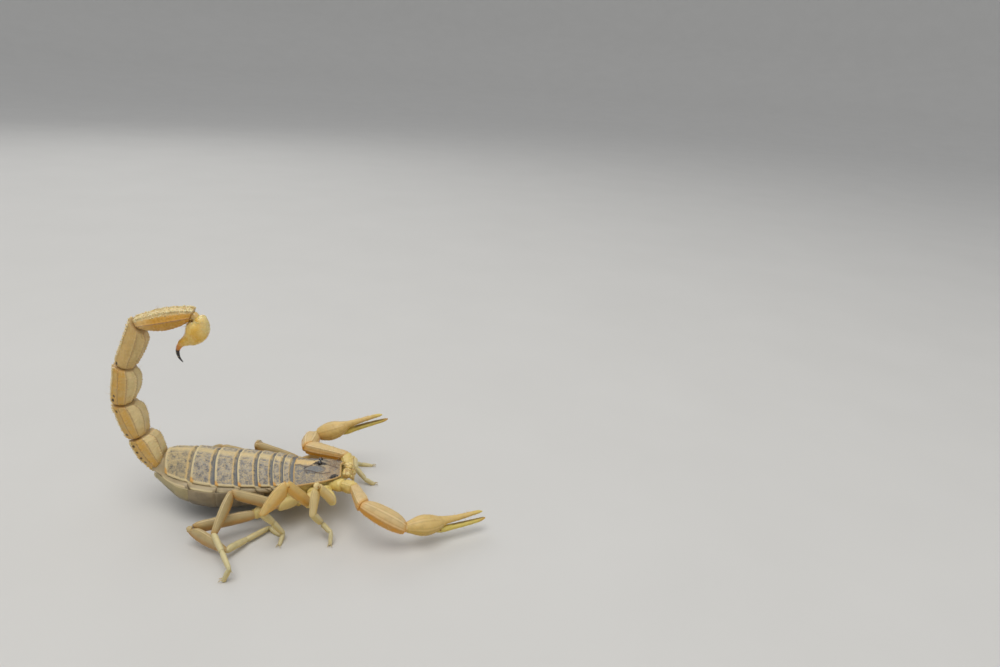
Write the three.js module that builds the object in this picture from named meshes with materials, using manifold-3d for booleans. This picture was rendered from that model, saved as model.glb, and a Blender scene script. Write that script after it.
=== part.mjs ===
// A life-size common yellow scorpion, standing with its tail arched over its back.
// Millimetres, Z up, head towards +X, the animal's left towards +Y, feet on z = 0.
import * as THREE from "three";
import Module from "manifold-3d";
import { mergeVertices } from "three/addons/utils/BufferGeometryUtils.js";

const wasm = await Module();
wasm.setup();

// ---- driving dimensions ----

const GAP = 0.24; // clear space between two plates or limb segments
const PLATE = 0.45; // thickness of a back or belly plate
const TILT_LIMIT = 35; // degrees that the end of a limb segment may be mitred

// carapace: [x, half width, height of the ridge, height of the side margin]
const CARAPACE = [
  [0.1, 1.9, 7.5, 6.75],
  [-0.5, 2.35, 7.65, 6.65],
  [-1.7, 2.8, 7.75, 6.45],
  [-3.1, 3.1, 7.75, 6.25],
  [-4.6, 3.4, 7.75, 6.1],
  [-6.0, 3.65, 7.8, 5.95],
  [-6.78, 3.72, 7.85, 5.95],
];
const CARAPACE_BOWS = [0.1, 0.5]; // how far the sides lie ahead of the middle, front and rear
// back: the same four sizes along the seven tergites
const BACK = [
  [-6.9, 3.72, 7.9, 6.1],
  [-8.1, 4.0, 8.1, 6.15],
  [-9.6, 4.25, 8.35, 6.15],
  [-11.8, 4.5, 8.6, 6.15],
  [-14.6, 4.65, 8.8, 6.2],
  [-17.7, 4.55, 9.05, 6.2],
  [-20.8, 4.1, 9.4, 6.35],
  [-23.8, 3.2, 9.4, 6.6],
  [-25.5, 2.35, 9.1, 6.9],
];
const TERGITE_EDGES = [-6.9, -8.1, -9.6, -11.8, -14.6, -17.7, -20.8, -25.3];
const TERGITE_BOWS = [0.5, 0.6, 0.65, 0.8, 0.8, 0.65, 0.1, 0.3];
// belly: [x, half width at the flank, depth of the keel line, height of the flank]
const BELLY = [
  [-7.2, 3.5, 3.3, 5.0],
  [-9.9, 4.2, 2.5, 4.7],
  [-12.9, 4.85, 1.6, 4.6],
  [-15.6, 5.15, 1.2, 4.6],
  [-18.9, 5.2, 1.2, 4.7],
  [-22.6, 4.4, 2.1, 5.1],
  [-24.5, 3.4, 3.5, 5.7],
  [-26.3, 2.3, 5.0, 6.4],
];
const BELLY_WRAP = 103; // degrees from the keel line to a belly plate's margin
const STERNITE_EDGES = [-10.4, -11.8, -13.7, -17.0, -21.4, -26.3];
const STERNITE_BOWS = [0, 0, 0, 0, 0.45, -0.35];

// tail: the joint under the last tergite, then length and pitch of each segment,
// pitch measured from straight back, turning up and over towards the head
const TAIL_ROOT = [-26.0, 0, 7.25];
const TAIL = [
  { length: 5.1, pitch: 60, wide: [1.6, 1.95, 2.1, 2.0, 1.75], back: [0.8, 1.0, 1.5, 1.9, 1.45],
    belly: [1.7, 2.05, 2.4, 2.15, 1.85] },
  { length: 5.4, pitch: 71, wide: [1.6, 1.9, 2.0, 1.95, 1.7], back: [0.95, 1.15, 1.75, 1.9, 1.35],
    belly: [1.75, 2.0, 2.05, 1.8, 1.75] },
  { length: 5.7, pitch: 97, wide: [1.55, 1.8, 1.9, 1.85, 1.6], back: [1.0, 1.25, 1.8, 1.85, 1.25],
    belly: [1.7, 1.9, 1.85, 1.65, 1.6] },
  { length: 6.7, pitch: 110, wide: [1.45, 1.7, 1.8, 1.7, 1.5], back: [1.1, 1.3, 1.65, 1.7, 1.25],
    belly: [1.45, 1.55, 1.4, 1.25, 1.15] },
  { length: 7.8, pitch: 168, wide: [1.2, 1.5, 1.65, 1.5, 1.0], back: [0.65, 0.9, 1.3, 1.0, 0.6],
    belly: [1.0, 1.4, 1.7, 1.6, 1.0] },
];
const TAIL_STEPS = [0, 0.16, 0.45, 0.8, 1]; // places of those five sizes along a segment
// keels of a tail segment: [degrees from the back, radius against the segment's half size]
const KEELS = [
  [0, 0.88],
  [24, 1.08],
  [66, 1.04],
  [100, 0.98],
  [140, 1.06],
  [167, 1.04],
];

// sting: centre line from the last joint, and its half width along it
const TELSON = [
  [-19.35, 30.35, 0.6],
  [-19.1, 29.75, 1.15],
  [-19.25, 28.9, 1.5],
  [-19.6, 28.0, 1.55],
  [-20.2, 27.25, 1.25],
  [-21.0, 26.7, 0.8],
  [-21.75, 26.2, 0.5],
  [-22.25, 25.5, 0.38],
  [-22.4, 24.7, 0.3],
  [-22.2, 23.95, 0.22],
  [-21.8, 23.35, 0.12],
];

// chest floor and genital plate: [x, height, half width, half height]
const CHEST = [
  [0.6, 5.1, 1.7, 0.7], [-0.6, 5.1, 2.1, 1.0], [-3.0, 5.0, 2.5, 1.4], [-5.4, 4.9, 2.8, 1.6],
  [-7.1, 4.8, 2.8, 1.6],
];
const GENITAL_PLATE = [[-5.2, 3.7, 0.9, 0.6], [-7.0, 3.55, 1.35, 0.55], [-8.6, 3.5, 1.2, 0.45]];
// pectines: their basal piece, then the left comb as [x, y, height, half width, half height]
const COMB_BASE = [[-8.9, 3.5, 1.1, 0.4], [-9.9, 3.4, 1.0, 0.35]];
const COMB = [
  [-9.3, 0.4, 3.2, 0.45, 0.35], [-10.0, 1.8, 1.75, 0.6, 0.28], [-11.0, 3.3, 1.65, 0.55, 0.26],
  [-11.8, 4.5, 2.1, 0.35, 0.25],
];

// left jaw: centre line and half sizes of its hand, its fixed and its hinged finger
const JAW = [
  [[0.35, 0.88, 6.62, 0.6, 0.5], [0.65, 0.9, 6.64, 0.76, 0.68], [1.1, 0.88, 6.58, 0.76, 0.7],
    [1.5, 0.84, 6.4, 0.56, 0.54]],
  [[1.3, 0.6, 6.5, 0.28], [1.75, 0.55, 6.05, 0.26], [1.9, 0.5, 5.5, 0.12]],
  [[1.3, 1.14, 6.4, 0.3], [1.8, 1.14, 5.95, 0.26], [1.95, 1.0, 5.4, 0.12]],
];

// claw arms: the coxa's two ends, then length, yaw and pitch in degrees of each link
const ARM_ROOT = [-2.2, 1.3, 5.0];
const ARM_HIP = [0.7, 2.6, 5.6];
const ARM_COXA_SIZE = [[0, 0.7], [0.4, 0.85], [0.8, 0.92], [1, 0.78]];
// wrist is how far from its joint the hand begins, and bow how far the claw sags along its line
const ARMS = {
  r: { trochanter: [2.2, -37, 12], femur: [5.9, -70, 8], patella: [6.7, -2, -30],
    chela: [12.2, 23, -4], wrist: 0.4, roll: -14, bow: 0.3 },
  l: { trochanter: [2.0, 112, 27], femur: [6.1, 173, 9], patella: [6.7, 94, -14],
    chela: [12.5, -5, 21], wrist: 1.15, roll: 14, bow: 0 },
};
const TROCHANTER_SIZE = [[0, 0.7], [0.3, 0.88], [0.7, 0.9], [1, 0.62]];
const ARM_FEMUR_SIZE = [[0, 0.52, 0.55], [0.15, 0.7, 0.72], [0.5, 0.84, 0.88], [0.85, 0.98, 1.0],
  [1, 0.74, 0.74]];
const ARM_PATELLA_SIZE = [[0, 0.66, 0.7], [0.12, 1.02, 1.05], [0.35, 1.28, 1.27],
  [0.65, 1.32, 1.3], [0.88, 1.08, 1.08], [1, 0.72, 0.72]];
// hand with its fixed finger, and hinged finger: [distance, rise, half width, half height],
// for a claw of CLAW_LENGTH
const CLAW_LENGTH = 12;
const HAND = [
  [0, 0, 0.62, 0.64], [0.8, 0, 0.85, 0.9], [1.6, 0, 1.15, 1.2], [2.4, 0, 1.38, 1.42],
  [3.2, 0, 1.44, 1.46], [4.2, 0.04, 1.3, 1.3], [5.2, 0.14, 0.98, 0.95], [6.0, 0.36, 0.56, 0.5],
  [8.0, 0.5, 0.42, 0.36], [10.0, 0.62, 0.36, 0.32], [11.4, 0.64, 0.28, 0.26],
  [12.0, 0.6, 0.17, 0.17],
];
const FINGER = [
  [4.9, -0.92, 0.46, 0.38], [5.8, -0.88, 0.5, 0.46], [7.2, -0.74, 0.46, 0.42],
  [9.0, -0.66, 0.43, 0.38], [10.8, -0.64, 0.35, 0.33], [12.0, -0.62, 0.27, 0.26],
  [12.5, -0.58, 0.16, 0.16],
];
const FINGER_SOCKET = [[4.4, -0.95, 0.68, 0.56], [6.4, -0.88, 0.68, 0.6]];

// walking legs: root and end of the coxa, end of the trochanter, lengths of the five links
// beyond it, and half heights of the femur and the patella
const HIP_ROOTS = {
  1: [-2.4, 1.0, 4.4], 2: [-3.6, 0.9, 4.1], 3: [-4.9, 0.9, 3.8], 4: [-5.8, 1, 3.6],
};
const LEGS = {
  1: { hip: [-1.7, 3.3, 4.8], trochanter: [-0.5, 5.6, 5.0], lengths: [4.4, 4.5, 2.8, 2.3, 1.8],
    deep: [0.6, 0.8] },
  2: { hip: [-3.6, 3.8, 4.6], trochanter: [-3.8, 6.3, 5.0], lengths: [5.3, 5.0, 3.2, 2.7, 2.0],
    deep: [0.76, 1.05] },
  3: { hip: [-6.0, 4.1, 3.8], trochanter: [-7.9, 6.2, 4.3], lengths: [6.72, 5.8, 3.6, 3.17, 2.1],
    deep: [0.78, 1.05] },
  4: { hip: [-8.9, 4.5, 3.5], trochanter: [-11.2, 6.9, 3.2], lengths: [8.75, 6.65, 3.8, 3.8, 2.25],
    deep: [0.84, 1.04] },
};
// yaw and pitch of those links; a link with no pitch comes down to the ground
const STANCE = {
  r1: [[-138, 55], [-121, -79], [51, -56], [-47, -8], [-88]],
  r2: [[-137, 53], [-149, -46], [65, -53], [28, -60], [-95]],
  r3: [[-172, 20.5], [-107, -38], [-57, -8], [-57, -12], [-172]],
  r4: [[-161.5, -5], [-27, -9], [61, -10], [51, -2], [-31]],
  l1: [[138, -21], [18, -10], [-78, -1], [-22, -44], [0]],
  l2: [[150, -28], [45, -18], [0, -6], [0, -7], [0]],
  l3: [[180, 21], [94, -36], [-40, -25], [0, -25], [0]],
  l4: [[-176, 18], [150, -36], [62, -14], [25, -9], [20]],
};
const COXA_GIRTH = { least: 0.78, growth: 0.05 }; // half width, and its growth from leg to leg
const TROCHANTER = { root: [0.62, 0.7], middle: [0.72, 0.82] }; // half width and half height
// femur beyond its elbow and patella: [share, half width, share of the half height]
const FEMUR_SIZE = [[0, 0.5, 0.9], [0.2, 0.48, 0.95], [0.55, 0.5, 1], [0.88, 0.48, 0.95]];
const FEMUR_END = [0.36, 0.42];
const PATELLA_SIZE = [[0.14, 0.46, 0.8], [0.38, 0.52, 1], [0.72, 0.46, 0.78]];
const PATELLA_ENDS = [[0, 0.34, 0.42], [0.93, 0.42, 0.52], [1, 0.34, 0.4]];
// tibia, basitarsus and telotarsus: [which of the three, share, half width, half height]
const FOOT_SIZE = [
  [0, 0, 0.3, 0.38], [0, 0.2, 0.4, 0.52], [0, 0.85, 0.36, 0.468], [1, 0, 0.32, 0.399],
  [1, 0.15, 0.34, 0.42], [1, 0.85, 0.3, 0.378], [2, 0, 0.27, 0.323], [2, 0.3, 0.3, 0.34],
  [2, 0.85, 0.27, 0.306],
];
const TOE = { wide: 0.24, high: 0.28, overrun: 0.12 };
const EYE = { x: -3.15, y: 0.42, z: 7.98, radius: 0.3, clear: 0.05 };
const EYE_HILL = { radius: 0.62, length: 1.35, height: 0.55, behind: 0.1, below: 0.28 };

// ---- small helpers ----

const vec = (...p) => new THREE.Vector3(...p.flat());
const rad = THREE.MathUtils.degToRad;
const UP = vec(0, 0, 1);

// a step of the given length, yaw and pitch
function stride([length, yaw, pitch]) {
  const flat = Math.cos(rad(pitch));
  return vec(flat * Math.cos(rad(yaw)), flat * Math.sin(rad(yaw)), Math.sin(rad(pitch)))
    .multiplyScalar(length);
}

// the row of a size table at x, worked out between its two neighbours
function along(table, x) {
  const last = table.length - 1;
  const falling = table[0][0] > table[last][0];
  let i = 0;
  while (i < last - 1 && (falling ? x < table[i + 1][0] : x > table[i + 1][0])) i++;
  const [a, b] = [table[i], table[i + 1]];
  const share = THREE.MathUtils.clamp((x - a[0]) / (b[0] - a[0]), 0, 1);
  return a.slice(1).map((value, k) => value + (b[k + 1] - value) * share);
}

// an even ring of directions, squared off by the given power
function evenRing(sides, power = 2.3) {
  return Array.from({ length: sides }, (_, i) => {
    const angle = (i / sides) * 2 * Math.PI;
    const bend = (value) => Math.sign(value) * Math.abs(value) ** (2 / power);
    return [bend(Math.sin(angle)), bend(Math.cos(angle))];
  });
}

// a ring with a vertex on each keel, the same on both sides
function keelRing() {
  const side = KEELS.slice(1);
  const all = [KEELS[0], ...side, ...side.toReversed().map(([a, r]) => [360 - a, r])];
  return all.map(([angle, r]) => [r * Math.sin(rad(angle)), r * Math.cos(rad(angle))]);
}

// A closed limb through a row of stations { at, wide, up, down }. Each ring stands square to
// the line; the first and last may be cut on a given plane instead.
function limb(stations, { ring = evenRing(8), up = UP, start, end } = {}) {
  const sides = ring.length;
  const steps = stations.length - 1;
  const body = new THREE.CylinderGeometry(1, 1, steps, sides, steps);
  const place = body.attributes.position;
  const frames = stations.map((station, i) => {
    const before = stations[Math.max(i - 1, 0)].at;
    const after = stations[Math.min(i + 1, steps)].at;
    const ahead = after.clone().sub(before).normalize();
    const side = ahead.clone().cross(up).normalize();
    return { ...station, ahead, side, rise: side.clone().cross(ahead) };
  });
  for (let v = 0; v < place.count; v++) {
    const [x, y, z] = [place.getX(v), place.getY(v), place.getZ(v)];
    const step = Math.round(steps / 2 - y);
    const frame = frames[step];
    const point = frame.at.clone();
    if (Math.hypot(x, z) > 0.5) {
      const i = Math.round(((Math.atan2(x, z) / (2 * Math.PI)) * sides + sides) % sides) % sides;
      const [across, above] = ring[i];
      const lift = above > 0 ? frame.up ?? frame.wide : frame.down ?? frame.up ?? frame.wide;
      point.addScaledVector(frame.side, across * frame.wide);
      point.addScaledVector(frame.rise, above * lift);
    }
    const cut = step === 0 ? start : step === steps ? end : null;
    if (cut) {
      const off = point.clone().sub(frame.at).dot(cut) / frame.ahead.dot(cut);
      point.addScaledVector(frame.ahead, -off);
    }
    place.setXYZ(v, point.x, point.y, point.z);
  }
  return body;
}

// the cut plane and set-back where a segment heading one way meets its neighbour
function mitre(own, other, halfSize) {
  const bend = own.angleTo(other);
  const tilt = Math.min(bend / 2, rad(TILT_LIMIT));
  const aside = other.clone().addScaledVector(own, -own.dot(other));
  if (aside.length() < 1e-6) return { plane: own.clone(), back: GAP / 2 };
  const plane = own.clone().multiplyScalar(Math.cos(tilt))
    .addScaledVector(aside.normalize(), Math.sin(tilt));
  return { plane, back: GAP / 2 / Math.cos(tilt) + halfSize * (Math.tan(bend / 2) - Math.tan(tilt)) };
}

// one straight limb segment of a chain, from joints[i] to joints[i + 1];
// sizes are [share of the length, half width, half height]
function segment(joints, i, sizes, options = {}) {
  const heading = (k) => joints[k + 1].clone().sub(joints[k]).normalize();
  const own = heading(i);
  const [first, last] = [sizes[0], sizes[sizes.length - 1]];
  let [from, to] = [joints[i].clone(), joints[i + 1].clone()];
  const cuts = {};
  if (i > 0) {
    const joint = mitre(own, heading(i - 1), first[2] ?? first[1]);
    cuts.start = joint.plane;
    from.addScaledVector(own, joint.back);
  }
  if (i + 2 < joints.length) {
    const joint = mitre(own, heading(i + 1), last[2] ?? last[1]);
    cuts.end = joint.plane;
    to.addScaledVector(own, -joint.back);
  }
  const stations = sizes.map(([share, wide, high, low]) => ({
    at: from.clone().lerp(to, share), wide, up: high ?? wide, down: low,
  }));
  return limb(stations, { ...cuts, ...options });
}

// an arched plate between two x values over a size table; bows say how far its sides lie
// ahead of its middle at the front and at the rear
function plate(table, front, rear, bows, { steps = 2, across = 12, arch = 2.2, dip = 0.16,
  rise = 0 } = {}) {
  const sheet = new THREE.BoxGeometry(1, 1, 1, steps, across, 1);
  const place = sheet.attributes.position;
  for (let v = 0; v < place.count; v++) {
    const share = 0.5 - place.getX(v);
    const lane = 2 * place.getY(v);
    const outer = place.getZ(v) > 0 ? 1 : 0;
    const x = front + (rear - front) * share;
    const [wide, ridge, margin] = along(table, x);
    const thick = PLATE * (1 - 0.35 * lane ** 6);
    const slope = dip * (1 - share) - rise * share;
    const top = margin + (ridge - margin) * (1 - Math.abs(lane) ** arch) - slope;
    const inset = outer ? 0 : thick;
    const bow = THREE.MathUtils.lerp(...bows, share);
    place.setXYZ(v, x + bow * lane ** 2, lane * (wide - inset * lane ** 4),
      top - inset * (1 - 0.5 * lane ** 8));
  }
  return facingOut(sheet);
}

// a belly plate: a trough that hangs under the body and wraps up over its flanks
function trough(front, rear, bows, steps) {
  const sheet = new THREE.BoxGeometry(1, 1, 1, steps, 10, 1);
  const place = sheet.attributes.position;
  for (let v = 0; v < place.count; v++) {
    const share = 0.5 - place.getX(v);
    const x = front + (rear - front) * share;
    const turn = rad(2 * place.getY(v) * BELLY_WRAP);
    const [wide, keel, flank] = along(BELLY, x);
    const inset = place.getZ(v) > 0 ? 0 : PLATE;
    const bow = THREE.MathUtils.lerp(...bows, share);
    place.setXYZ(v, x + bow * Math.sin(turn) ** 2, Math.sin(turn) * (wide - inset),
      flank + (keel - flank + inset) * Math.cos(turn));
  }
  return facingOut(sheet);
}

// turns a mesh outside out again if its mapping turned it inside out
function facingOut(geometry) {
  const place = geometry.attributes.position;
  const index = geometry.index.array;
  const corner = [vec(0, 0, 0), vec(0, 0, 0), vec(0, 0, 0)];
  let volume = 0;
  for (let i = 0; i < index.length; i += 3) {
    corner.forEach((c, k) => c.fromBufferAttribute(place, index[i + k]));
    volume += corner[0].dot(corner[1].clone().cross(corner[2]));
  }
  if (volume < 0) {
    for (let i = 0; i < index.length; i += 3) {
      [index[i], index[i + 1]] = [index[i + 1], index[i]];
    }
  }
  return geometry;
}

// ---- booleans ----

function solid(geometry) {
  const bare = new THREE.BufferGeometry();
  bare.setAttribute("position", facingOut(geometry).attributes.position.clone());
  bare.setIndex(geometry.index.clone());
  const merged = mergeVertices(bare, 1e-4);
  return new wasm.Manifold(new wasm.Mesh({
    numProp: 3,
    vertProperties: new Float32Array(merged.attributes.position.array),
    triVerts: new Uint32Array(merged.index.array),
  }));
}

function geometryOf(manifold) {
  const mesh = manifold.getMesh();
  const geometry = new THREE.BufferGeometry();
  geometry.setAttribute("position", new THREE.BufferAttribute(mesh.vertProperties, 3));
  geometry.setIndex(new THREE.BufferAttribute(mesh.triVerts, 1));
  return geometry;
}

const joined = (parts) => parts.map(solid).reduce((whole, part) => whole.add(part));

// a box between two corners
function block(low, high) {
  const size = vec(high).sub(vec(low));
  const box = new THREE.BoxGeometry(size.x, size.y, size.z);
  box.translate(...vec(low).add(vec(high)).multiplyScalar(0.5).toArray());
  return box;
}

// ---- the nodes ----

const group = new THREE.Group();
group.name = "scorpion";

const FINISH = {
  shell_grey: { color: 0x7d776c, roughness: 0.5 },
  shell_dark: { color: 0x6b655c, roughness: 0.48 },
  flank: { color: 0x8f836a, roughness: 0.42 },
  straw: { color: 0xc6a76d, roughness: 0.45 },
  amber: { color: 0xbd8a38, roughness: 0.35 },
  honey: { color: 0xc9a157, roughness: 0.4 },
  leg: { color: 0xb9a066, roughness: 0.38 },
  eye: { color: 0x120f0d, roughness: 0.08 },
};

function add(name, geometry, finish) {
  const settings = { ...FINISH[finish], metalness: 0 };
  const mesh = new THREE.Mesh(facingOut(geometry), new THREE.MeshStandardMaterial(settings));
  mesh.name = name;
  mesh.material.name = finish;
  group.add(mesh);
}

// carapace with the eye hill, hollowed for the two median eyes
const eyeBall = (side, radius) => {
  const ball = new THREE.SphereGeometry(radius, 8, 6);
  ball.rotateX(Math.PI / 2);
  ball.translate(EYE.x, side * EYE.y, EYE.z);
  return ball;
};
const eyeHill = new THREE.SphereGeometry(EYE_HILL.radius, 10, 6);
eyeHill.scale(EYE_HILL.length, 1, EYE_HILL.height);
eyeHill.translate(EYE.x - EYE_HILL.behind, 0, EYE.z - EYE_HILL.below);
let shield = joined([
  plate(CARAPACE, CARAPACE[0][0], CARAPACE.at(-1)[0], CARAPACE_BOWS,
    { steps: 8, across: 12, arch: 2, dip: 0 }),
  eyeHill,
]);
for (const side of [1, -1]) {
  shield = shield.subtract(solid(eyeBall(side, EYE.radius + EYE.clear)));
}
add("carapace", geometryOf(shield), "shell_dark");
add("eye_right", eyeBall(-1, EYE.radius), "eye");
add("eye_left", eyeBall(1, EYE.radius), "eye");

// back plates, each rising a little over the front of the next
for (let i = 0; i < 7; i++) {
  const steps = i === 6 ? 4 : 2;
  const sheet = plate(BACK, TERGITE_EDGES[i] - GAP / 2, TERGITE_EDGES[i + 1] + GAP / 2,
    TERGITE_BOWS.slice(i, i + 2), { steps, rise: 0.05 });
  add(`tergite_${i + 1}`, sheet, "shell_grey");
}

// belly plates
for (let i = 0; i < 5; i++) {
  const steps = i === 4 ? 3 : 2;
  const sheet = trough(STERNITE_EDGES[i] - GAP / 2, STERNITE_EDGES[i + 1] + GAP / 2,
    STERNITE_BOWS.slice(i, i + 2), steps);
  add(`sternite_${i + 3}`, sheet, "flank");
}

// the soft body between the plates: it fills the space under the back plates and over the
// belly plates, swells at the flanks, and is cut at the rear to meet the tail
const BODY_CLEAR = PLATE + 0.26;
const [BODY_FRONT, BODY_REAR] = [-7.35, -25.55];
function softBody() {
  const sheet = new THREE.BoxGeometry(1, 1, 1, 9, 10, 3);
  const place = sheet.attributes.position;
  const rearTip = stride([1, 180, TAIL[0].pitch]);
  const cut = mitre(vec(-1, 0, 0), rearTip, 0).plane;
  for (let v = 0; v < place.count; v++) {
    const share = 0.5 - place.getX(v);
    const lane = 2 * place.getY(v);
    const height = place.getZ(v) + 0.5;
    const x = BODY_FRONT + (BODY_REAR - BODY_FRONT) * share;
    const [backWide, ridge, margin] = along(BACK, x);
    const [bellyWide, keel, flank] = along(BELLY, x);
    const top = margin + (ridge - margin) * (1 - Math.abs(lane) ** 2.2) - BODY_CLEAR - 0.1;
    const low = flank + (keel - flank) * Math.cos(Math.asin(0.75 * lane)) + BODY_CLEAR
      + 0.85 * share ** 8;
    const bellySide = bellyWide * THREE.MathUtils.lerp(0.75, 1, height);
    const wide = THREE.MathUtils.lerp(bellySide, backWide, height ** 2) - BODY_CLEAR;
    const z = THREE.MathUtils.lerp(low, top, height);
    const lean = share === 1 ? (-(z - TAIL_ROOT[2]) * cut.z) / cut.x : 0;
    place.setXYZ(v, x + lean + 0.3 * lane ** 2 * (2 * height - 1), lane * wide, z);
  }
  return sheet;
}
const overHips = block([-10.15, -8, 0], [0, 8, 5.6]);
add("soft_body", geometryOf(solid(softBody()).subtract(solid(overHips))), "flank");

// chest floor with the eight hips, the claw arms' coxae, sternum and genital plate
const midline = (table) => table.map(([x, z, wide, up]) => ({ at: vec(x, 0, z), wide, up }));
const chest = [
  limb(midline(CHEST), { ring: evenRing(10, 2.6) }),
  limb(midline(GENITAL_PLATE)),
];
for (const side of [-1, 1]) {
  const flip = (p) => vec(p[0], side * p[1], p[2]);
  for (const [number, leg] of Object.entries(LEGS)) {
    const [root, hip, beyond] = [HIP_ROOTS[number], leg.hip, leg.trochanter].map(flip);
    const girth = COXA_GIRTH.least + COXA_GIRTH.growth * Number(number);
    chest.push(segment([root, hip, beyond], 0, [[0, 0.7, 0.75], [0.5, girth, girth + 0.05],
      [0.85, girth, girth + 0.1], [1, girth - 0.12, girth - 0.08]]));
  }
  const arm = side < 0 ? ARMS.r : ARMS.l;
  const hip = flip(ARM_HIP);
  const beyond = hip.clone().add(stride(arm.trochanter));
  chest.push(segment([flip(ARM_ROOT), hip, beyond], 0, ARM_COXA_SIZE));
}
add("chest", geometryOf(joined(chest)), "leg");

// pectines: a basal piece and two swept combs
const combs = [limb(midline(COMB_BASE))];
for (const side of [-1, 1]) {
  const stations = COMB.map(([x, y, z, wide, up]) => ({ at: vec(x, side * y, z), wide, up }));
  combs.push(limb(stations, { ring: evenRing(6) }));
}
add("pectines", geometryOf(joined(combs)), "leg");

// jaws: each a hand with a fixed and a hinged finger that bend down
for (const [name, side] of [["right", -1], ["left", 1]]) {
  const row = ([x, y, z, wide, high]) => ({ at: vec(x, side * y, z), wide, up: high ?? wide });
  const [hand, ...fingers] = JAW;
  const jaw = [limb(hand.map(row)), ...fingers.map((line) =>
    limb(line.map(row), { ring: evenRing(6), up: vec(1, 0, 0) }))];
  add(`chelicera_${name}`, geometryOf(joined(jaw)), "honey");
}

// claw arms
for (const [key, name, side] of [["r", "right", -1], ["l", "left", 1]]) {
  const arm = ARMS[key];
  const joints = [ARM_ROOT, ARM_HIP].map(([x, y, z]) => vec(x, side * y, z));
  for (const link of ["trochanter", "femur", "patella", "chela"]) {
    joints.push(joints.at(-1).clone().add(stride(arm[link])));
  }
  add(`pedipalp_trochanter_${name}`, segment(joints, 1, TROCHANTER_SIZE), "honey");
  add(`pedipalp_femur_${name}`, segment(joints, 2, ARM_FEMUR_SIZE), "straw");
  add(`pedipalp_patella_${name}`, segment(joints, 3, ARM_PATELLA_SIZE), "straw");
  const ahead = stride(arm.chela).normalize();
  const level = ahead.clone().cross(UP).normalize();
  const rise = level.clone().cross(ahead).applyAxisAngle(ahead, rad(arm.roll));
  const start = joints[4];
  const scale = arm.chela[0] / CLAW_LENGTH;
  const sag = (reach) => arm.bow * Math.sin(Math.PI * Math.min(reach / CLAW_LENGTH, 1) ** 1.5);
  const stations = (table) => table.map(([reach, lift, wide, high]) => ({
    at: start.clone().addScaledVector(ahead, reach * scale)
      .addScaledVector(rise, lift - sag(reach)),
    wide, up: high,
  }));
  const base = arm.wrist / scale;
  const hand = [[base, ...along(HAND, base)], ...HAND.filter(([reach]) => reach > base + 0.3)];
  const wrist = mitre(ahead, stride(arm.patella).normalize(), 0).plane;
  const palm = limb(stations(hand), { up: rise, start: wrist });
  const socket = limb(stations(FINGER_SOCKET), { up: rise });
  const finger = limb(stations(FINGER), { up: rise });
  add(`chela_${name}`, geometryOf(solid(palm).subtract(solid(socket))), "honey");
  add(`chela_finger_${name}`, finger, "honey");
}

// walking legs
for (const [key, pose] of Object.entries(STANCE)) {
  const side = key[0] === "r" ? -1 : 1;
  const { hip, trochanter, lengths, deep } = LEGS[key[1]];
  const root = HIP_ROOTS[key[1]];
  const joints = [root, hip, trochanter].map((p) => vec(p[0], side * p[1], p[2]));
  pose.forEach(([yaw, pitch], i) => {
    const above = joints.at(-1).z;
    const drop = -(180 / Math.PI) * Math.asin(Math.min(above / lengths[i], 0.95));
    joints.push(joints.at(-1).clone().add(stride([lengths[i], yaw, pitch ?? drop])));
  });
  const [thigh, shin] = deep;
  const ring = evenRing(8);
  const heading = (k) => joints[k + 1].clone().sub(joints[k]).normalize();
  // trochanter and femur: two cut ends and an elbow between them
  const startCut = mitre(heading(1), heading(0), TROCHANTER.root[1]);
  const endCut = mitre(heading(2), heading(3), FEMUR_END[1]);
  const first = joints[1].clone().addScaledVector(heading(1), startCut.back);
  const elbow = joints[2];
  const last = joints[3].clone().addScaledVector(heading(2), -endCut.back);
  const size = ([wide, up]) => ({ wide, up });
  const femur = limb([
    { at: first, ...size(TROCHANTER.root) },
    { at: first.clone().lerp(elbow, 0.45), ...size(TROCHANTER.middle) },
    ...FEMUR_SIZE.map(([share, wide, high]) => (
      { at: elbow.clone().lerp(last, share), wide, up: thigh * high })),
    { at: last, ...size(FEMUR_END) },
  ], { ring, start: startCut.plane, end: endCut.plane });
  add(`leg_${key}_femur`, femur, "leg");
  const calf = PATELLA_SIZE.map(([share, wide, high]) => [share, wide, shin * high]);
  const patella = [PATELLA_ENDS[0], ...calf, ...PATELLA_ENDS.slice(1)];
  add(`leg_${key}_patella`, segment(joints.slice(2), 1, patella, { ring }), "leg");
  // tibia, basitarsus and telotarsus, planed flat where the foot meets the ground
  const ankle = mitre(heading(4), heading(3), FEMUR_END[1]);
  const foot = joints.slice(4);
  foot[0] = foot[0].clone().addScaledVector(heading(4), ankle.back);
  const between = (i, share) => foot[i].clone().lerp(foot[i + 1], share);
  const overrun = TOE.overrun * (foot[2].z / lengths[4]);
  const shank = limb([
    ...FOOT_SIZE.map(([i, share, wide, up]) => ({ at: between(i, share), wide, up })),
    { at: between(2, 1 + overrun), wide: TOE.wide, up: TOE.high },
  ], { ring: evenRing(6, 2.2), start: ankle.plane });
  const planed = solid(shank).subtract(solid(block([-60, -60, -5], [60, 60, 0])));
  add(`leg_${key}_foot`, geometryOf(planed), "leg");
}

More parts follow.
